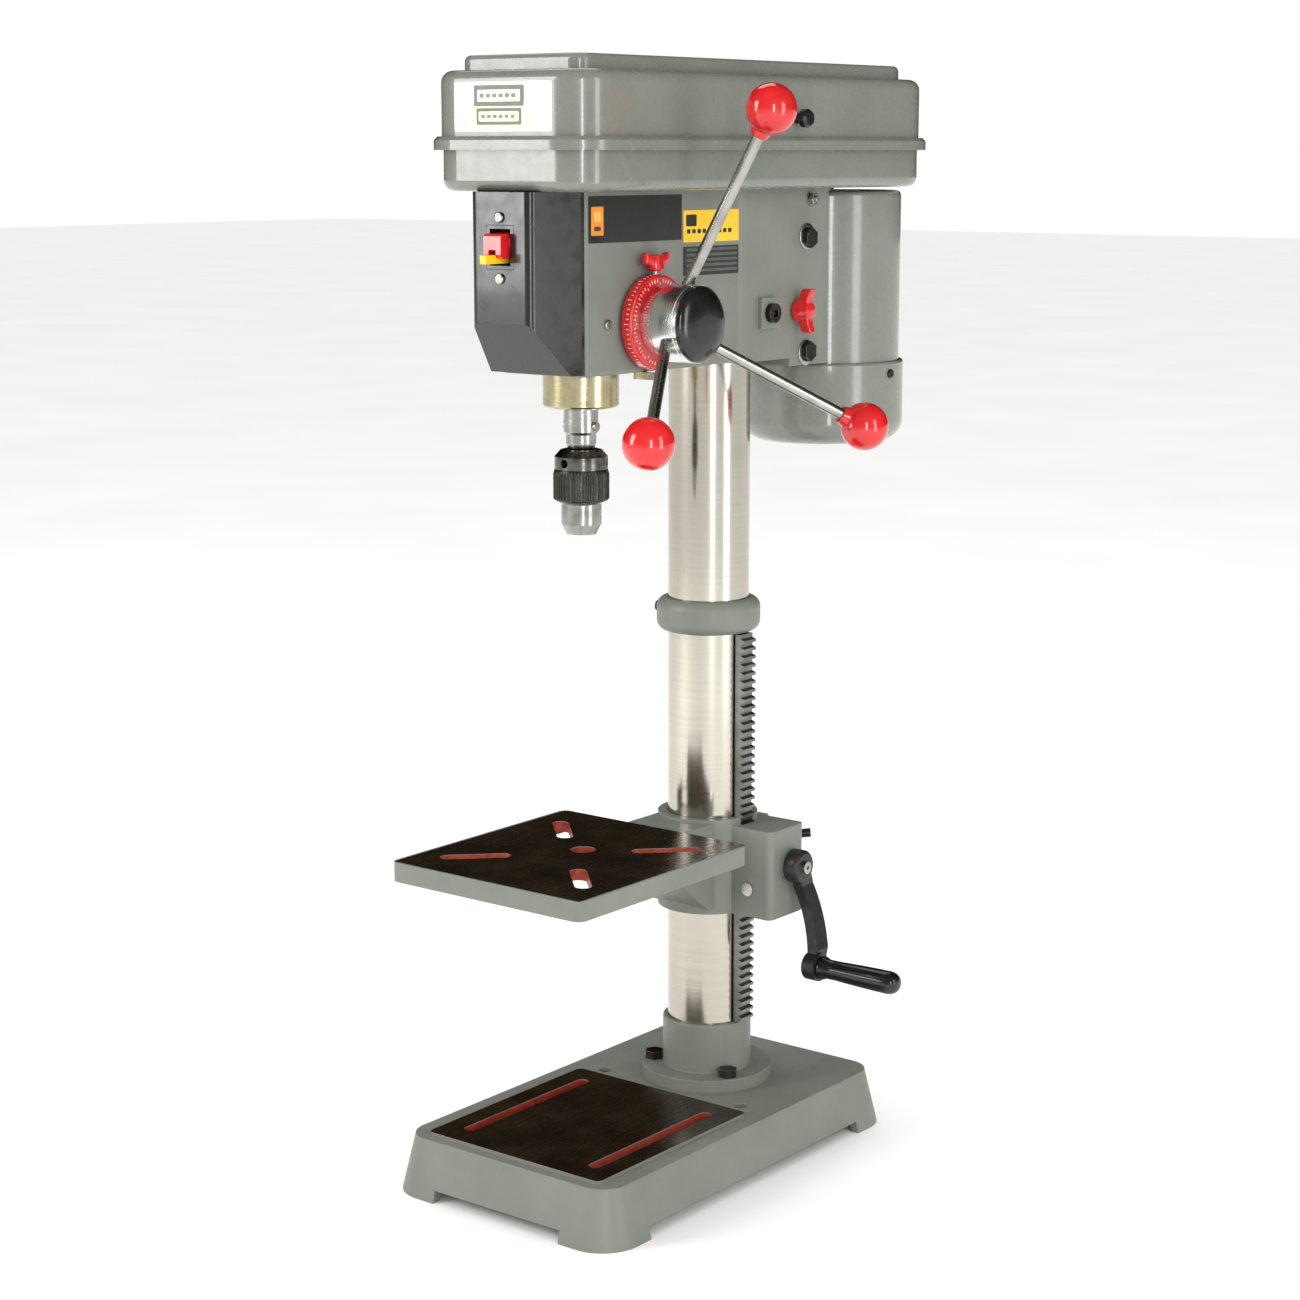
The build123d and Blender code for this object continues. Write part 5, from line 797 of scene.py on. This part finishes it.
class DRILLPRESS_OT_fasteners(bpy.types.Operator):
    """Adds washers, the tray stud and cap screws on the motor"""
    bl_idname = "drillpress.fasteners"
    bl_label = "Fasteners"

    def execute(self, context):
        thick = context.scene.drill_press_sizes.washer_thick
        self.washers(thick)
        self.tray_stud(thick)
        self.motor_screws()
        return {"FINISHED"}

    def washers(self, thick):
        """A plain washer under each of the two slide-bar bolts."""
        low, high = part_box("bar_lock_bolts")
        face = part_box("head_casting")[1].x - LOCK_BOSS
        middle = (low.y + high.y) / 2
        radius = 9.5 * MM
        half_hex = 6.5 * MM
        rings = [(radius, 0), (radius, 0.75 * thick), (0.95 * radius, thick),
                 (half_hex, thick), (half_hex, 0), (radius, 0)]
        pieces = [lathe(rings, Vector((face, middle, z)), "X", 40, True)
                  for z in (low.z + half_hex, high.z - half_hex)]
        washer = dress(join(pieces), FINISHES["bright_steel"])
        place(washer, "bolt_washers", "head", "bright_steel")

    def tray_stud(self, thick):
        """The bright nut on a washer that clamps the tray's bracket to the head's cheek."""
        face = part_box("head_casting")[1].x - LOCK_BOSS
        centre = Vector((face, 67 * MM, 703 * MM))
        washer = lathe([(5.5 * MM, 0), (5.5 * MM, thick), (3 * MM, thick)], centre, "X", 40)
        nut = lathe([(4.1 * MM, thick), (4.6 * MM, thick + 0.5 * MM), (4.6 * MM, thick + 2.9 * MM),
                     (4.1 * MM, thick + 3.4 * MM), (2 * MM, thick + 3.4 * MM)], centre, "X", 6)
        stud = lathe([(2.4 * MM, thick), (2.4 * MM, thick + 5 * MM), (1.9 * MM, thick + 5.5 * MM)],
                     centre, "X", 24)
        piece = dress(join([nut, washer, stud]), FINISHES["bright_steel"])
        place(piece, "tray_stud", "head", "bright_steel")

    def motor_screws(self):
        """Two small dark screws through the rim of the motor's end cap."""
        low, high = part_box("motor_end_cap")
        middle = Vector((0, (low.y + high.y) / 2, high.z - 9 * MM))
        radius = (high.x - low.x) / 2
        head = [(3.4 * MM, -0.5 * MM), (3.4 * MM, 1.2 * MM), (2.6 * MM, 2.0 * MM),
                (1.4 * MM, 2.0 * MM), (1.2 * MM, 0.9 * MM)]
        screws = []
        for axis, way in (("X", 1), ("X", -1)):
            rings = [(r, way * offset) for r, offset in head]
            centre = middle + AXES[axis] * way * radius
            screws.append(lathe(rings, centre, axis, 20))
        piece = dress(join(screws), FINISHES["black_oxide"])
        place(piece, "motor_cap_screws", "motor", "black_oxide")


class DRILLPRESS_OT_studio(bpy.types.Operator):
    """Sets the pale floor, the soft lights and the camera"""
    bl_idname = "drillpress.studio"
    bl_label = "Studio"

    def execute(self, context):
        studio = context.scene.drill_press_studio
        context.scene.view_settings.view_transform = "Standard"
        self.camera(context, studio)
        self.lights(studio)
        self.surroundings(context, studio)
        self.floor()
        return {"FINISHED"}

    def towards(self, degrees, reach, height):
        """A point at a compass turn to the operator's right of the front."""
        turn = math.radians(degrees)
        return Vector((math.sin(turn) * reach, -math.cos(turn) * reach, height))

    def camera(self, context, studio):
        turn = studio.azimuth
        right = Vector((math.cos(turn), math.sin(turn), 0))
        stand = self.towards(math.degrees(turn), studio.distance, studio.height)
        bpy.ops.object.camera_add(location=stand - right * studio.aside,
                                  rotation=(math.pi / 2 - studio.pitch, 0, turn))
        camera = context.object
        camera.name = "camera"
        camera.data.sensor_width = 36
        camera.data.lens = studio.lens
        camera.data.clip_start = 0.05
        context.scene.camera = camera

    def lights(self, studio):
        """A broad key from the left of the camera, a tall strip, a fill and a light behind."""
        target = Vector((0, 0, 0.42))
        view = math.degrees(studio.azimuth)
        plan = (("key", view - 72, 2.2, 1.15, 0.65, 1.3, 22.0),
                ("strip", view + 9, 2.7, 0.85, 0.24, 1.5, 17.0),
                ("fill", view + 50, 2.2, 0.8, 0.5, 1.7, 13.0),
                ("rear", view + 190, 1.6, 2.7, 1.4, 1.2, 9.0))
        for name, turn, reach, height, wide, tall, power in plan:
            spot = self.towards(turn, reach, height)
            aim = (target - spot).to_track_quat("-Z", "Y").to_euler()
            bpy.ops.object.light_add(type="AREA", location=spot, rotation=aim)
            light = bpy.context.object
            light.name = f"{name}_light"
            light.data.shape = "RECTANGLE"
            light.data.size = wide
            light.data.size_y = tall
            light.data.energy = power

    def surroundings(self, context, studio):
        """A pale room in front and a dark one behind, so that round steel gets its edges."""
        world = bpy.data.worlds.new("studio room")
        world.use_nodes = True
        context.scene.world = world
        tree = world.node_tree
        tree.nodes.clear()
        way = add_node(tree, "ShaderNodeTexCoord").outputs["Generated"]
        front = self.towards(math.degrees(studio.azimuth), 1.0, 0.0)
        facing = add_node(tree, "ShaderNodeVectorMath", {0: way, 1: front},
                          operation="DOT_PRODUCT").outputs["Value"]
        share = add_node(tree, "ShaderNodeMapRange", {
            "Value": facing, "From Min": -0.55, "From Max": 0.75}).outputs["Result"]
        room = mix(tree, share, linear("241d15"), linear("a9a8a2"))
        lit = add_node(tree, "ShaderNodeBackground", {"Color": room, "Strength": 0.7})
        plain = add_node(tree, "ShaderNodeBackground", {
            "Color": (*linear("fafafa"), 1.0), "Strength": 1.05})
        path = add_node(tree, "ShaderNodeLightPath").outputs
        even = add_node(tree, "ShaderNodeMath", {0: path["Is Camera Ray"],
                                                 1: path["Is Diffuse Ray"]}, operation="ADD")
        both = add_node(tree, "ShaderNodeMixShader", {
            0: even.outputs["Value"], 1: lit.outputs["Background"],
            2: plain.outputs["Background"]})
        add_node(tree, "ShaderNodeOutputWorld", {"Surface": both.outputs["Shader"]})

    def floor(self):
        floor = start("plane", size=40)
        floor.name = "floor"
        # Matt white laminate, with a barely visible cloud.
        material, tree, bsdf = new_material("white laminate", Specular_IOR_Level=0.0)
        tone = mix(tree, spread(tree, spots(tree, 400, 2), 0, 1), linear("f9f9f8"),
                   linear("fdfdfc"))
        tree.links.new(tone, bsdf.inputs["Base Color"])
        bsdf.inputs["Roughness"].default_value = 0.8
        dress(floor, material)


class DRILLPRESS_PT_panel(bpy.types.Panel):
    """The steps of the drill press, in order"""
    bl_idname = "DRILLPRESS_PT_panel"
    bl_label = "Drill Press"
    bl_space_type = "VIEW_3D"
    bl_region_type = "UI"
    bl_category = "Drill Press"

    def draw(self, context):
        column = self.layout.column(align=True)
        for step in STEPS:
            column.operator(step.bl_idname)
        for group in ("drill_press_sizes", "drill_press_colours", "drill_press_studio"):
            values = getattr(context.scene, group)
            for name in values.bl_rna.properties.keys():
                if name not in ("rna_type", "name"):
                    self.layout.prop(values, name)


STEPS = (DRILLPRESS_OT_studio, DRILLPRESS_OT_finishes, DRILLPRESS_OT_labels,
         DRILLPRESS_OT_depth_scale, DRILLPRESS_OT_feed_hub, DRILLPRESS_OT_crank_grip,
         DRILLPRESS_OT_wing_knobs, DRILLPRESS_OT_fasteners)
GROUPS = {"drill_press_colours": DrillPressColours, "drill_press_sizes": DrillPressSizes,
          "drill_press_studio": DrillPressStudio}


def register():
    for kind in (*GROUPS.values(), *STEPS, DRILLPRESS_PT_panel):
        bpy.utils.register_class(kind)
    for name, group in GROUPS.items():
        setattr(bpy.types.Scene, name, PointerProperty(type=group))


def unregister():
    for name in GROUPS:
        delattr(bpy.types.Scene, name)
    for kind in (DRILLPRESS_PT_panel, *STEPS[::-1], *GROUPS.values()):
        bpy.utils.unregister_class(kind)


def main():
    register()
    for step in STEPS:
        family, name = step.bl_idname.split(".")
        getattr(getattr(bpy.ops, family), name)()


if __name__ == "__main__":
    main()
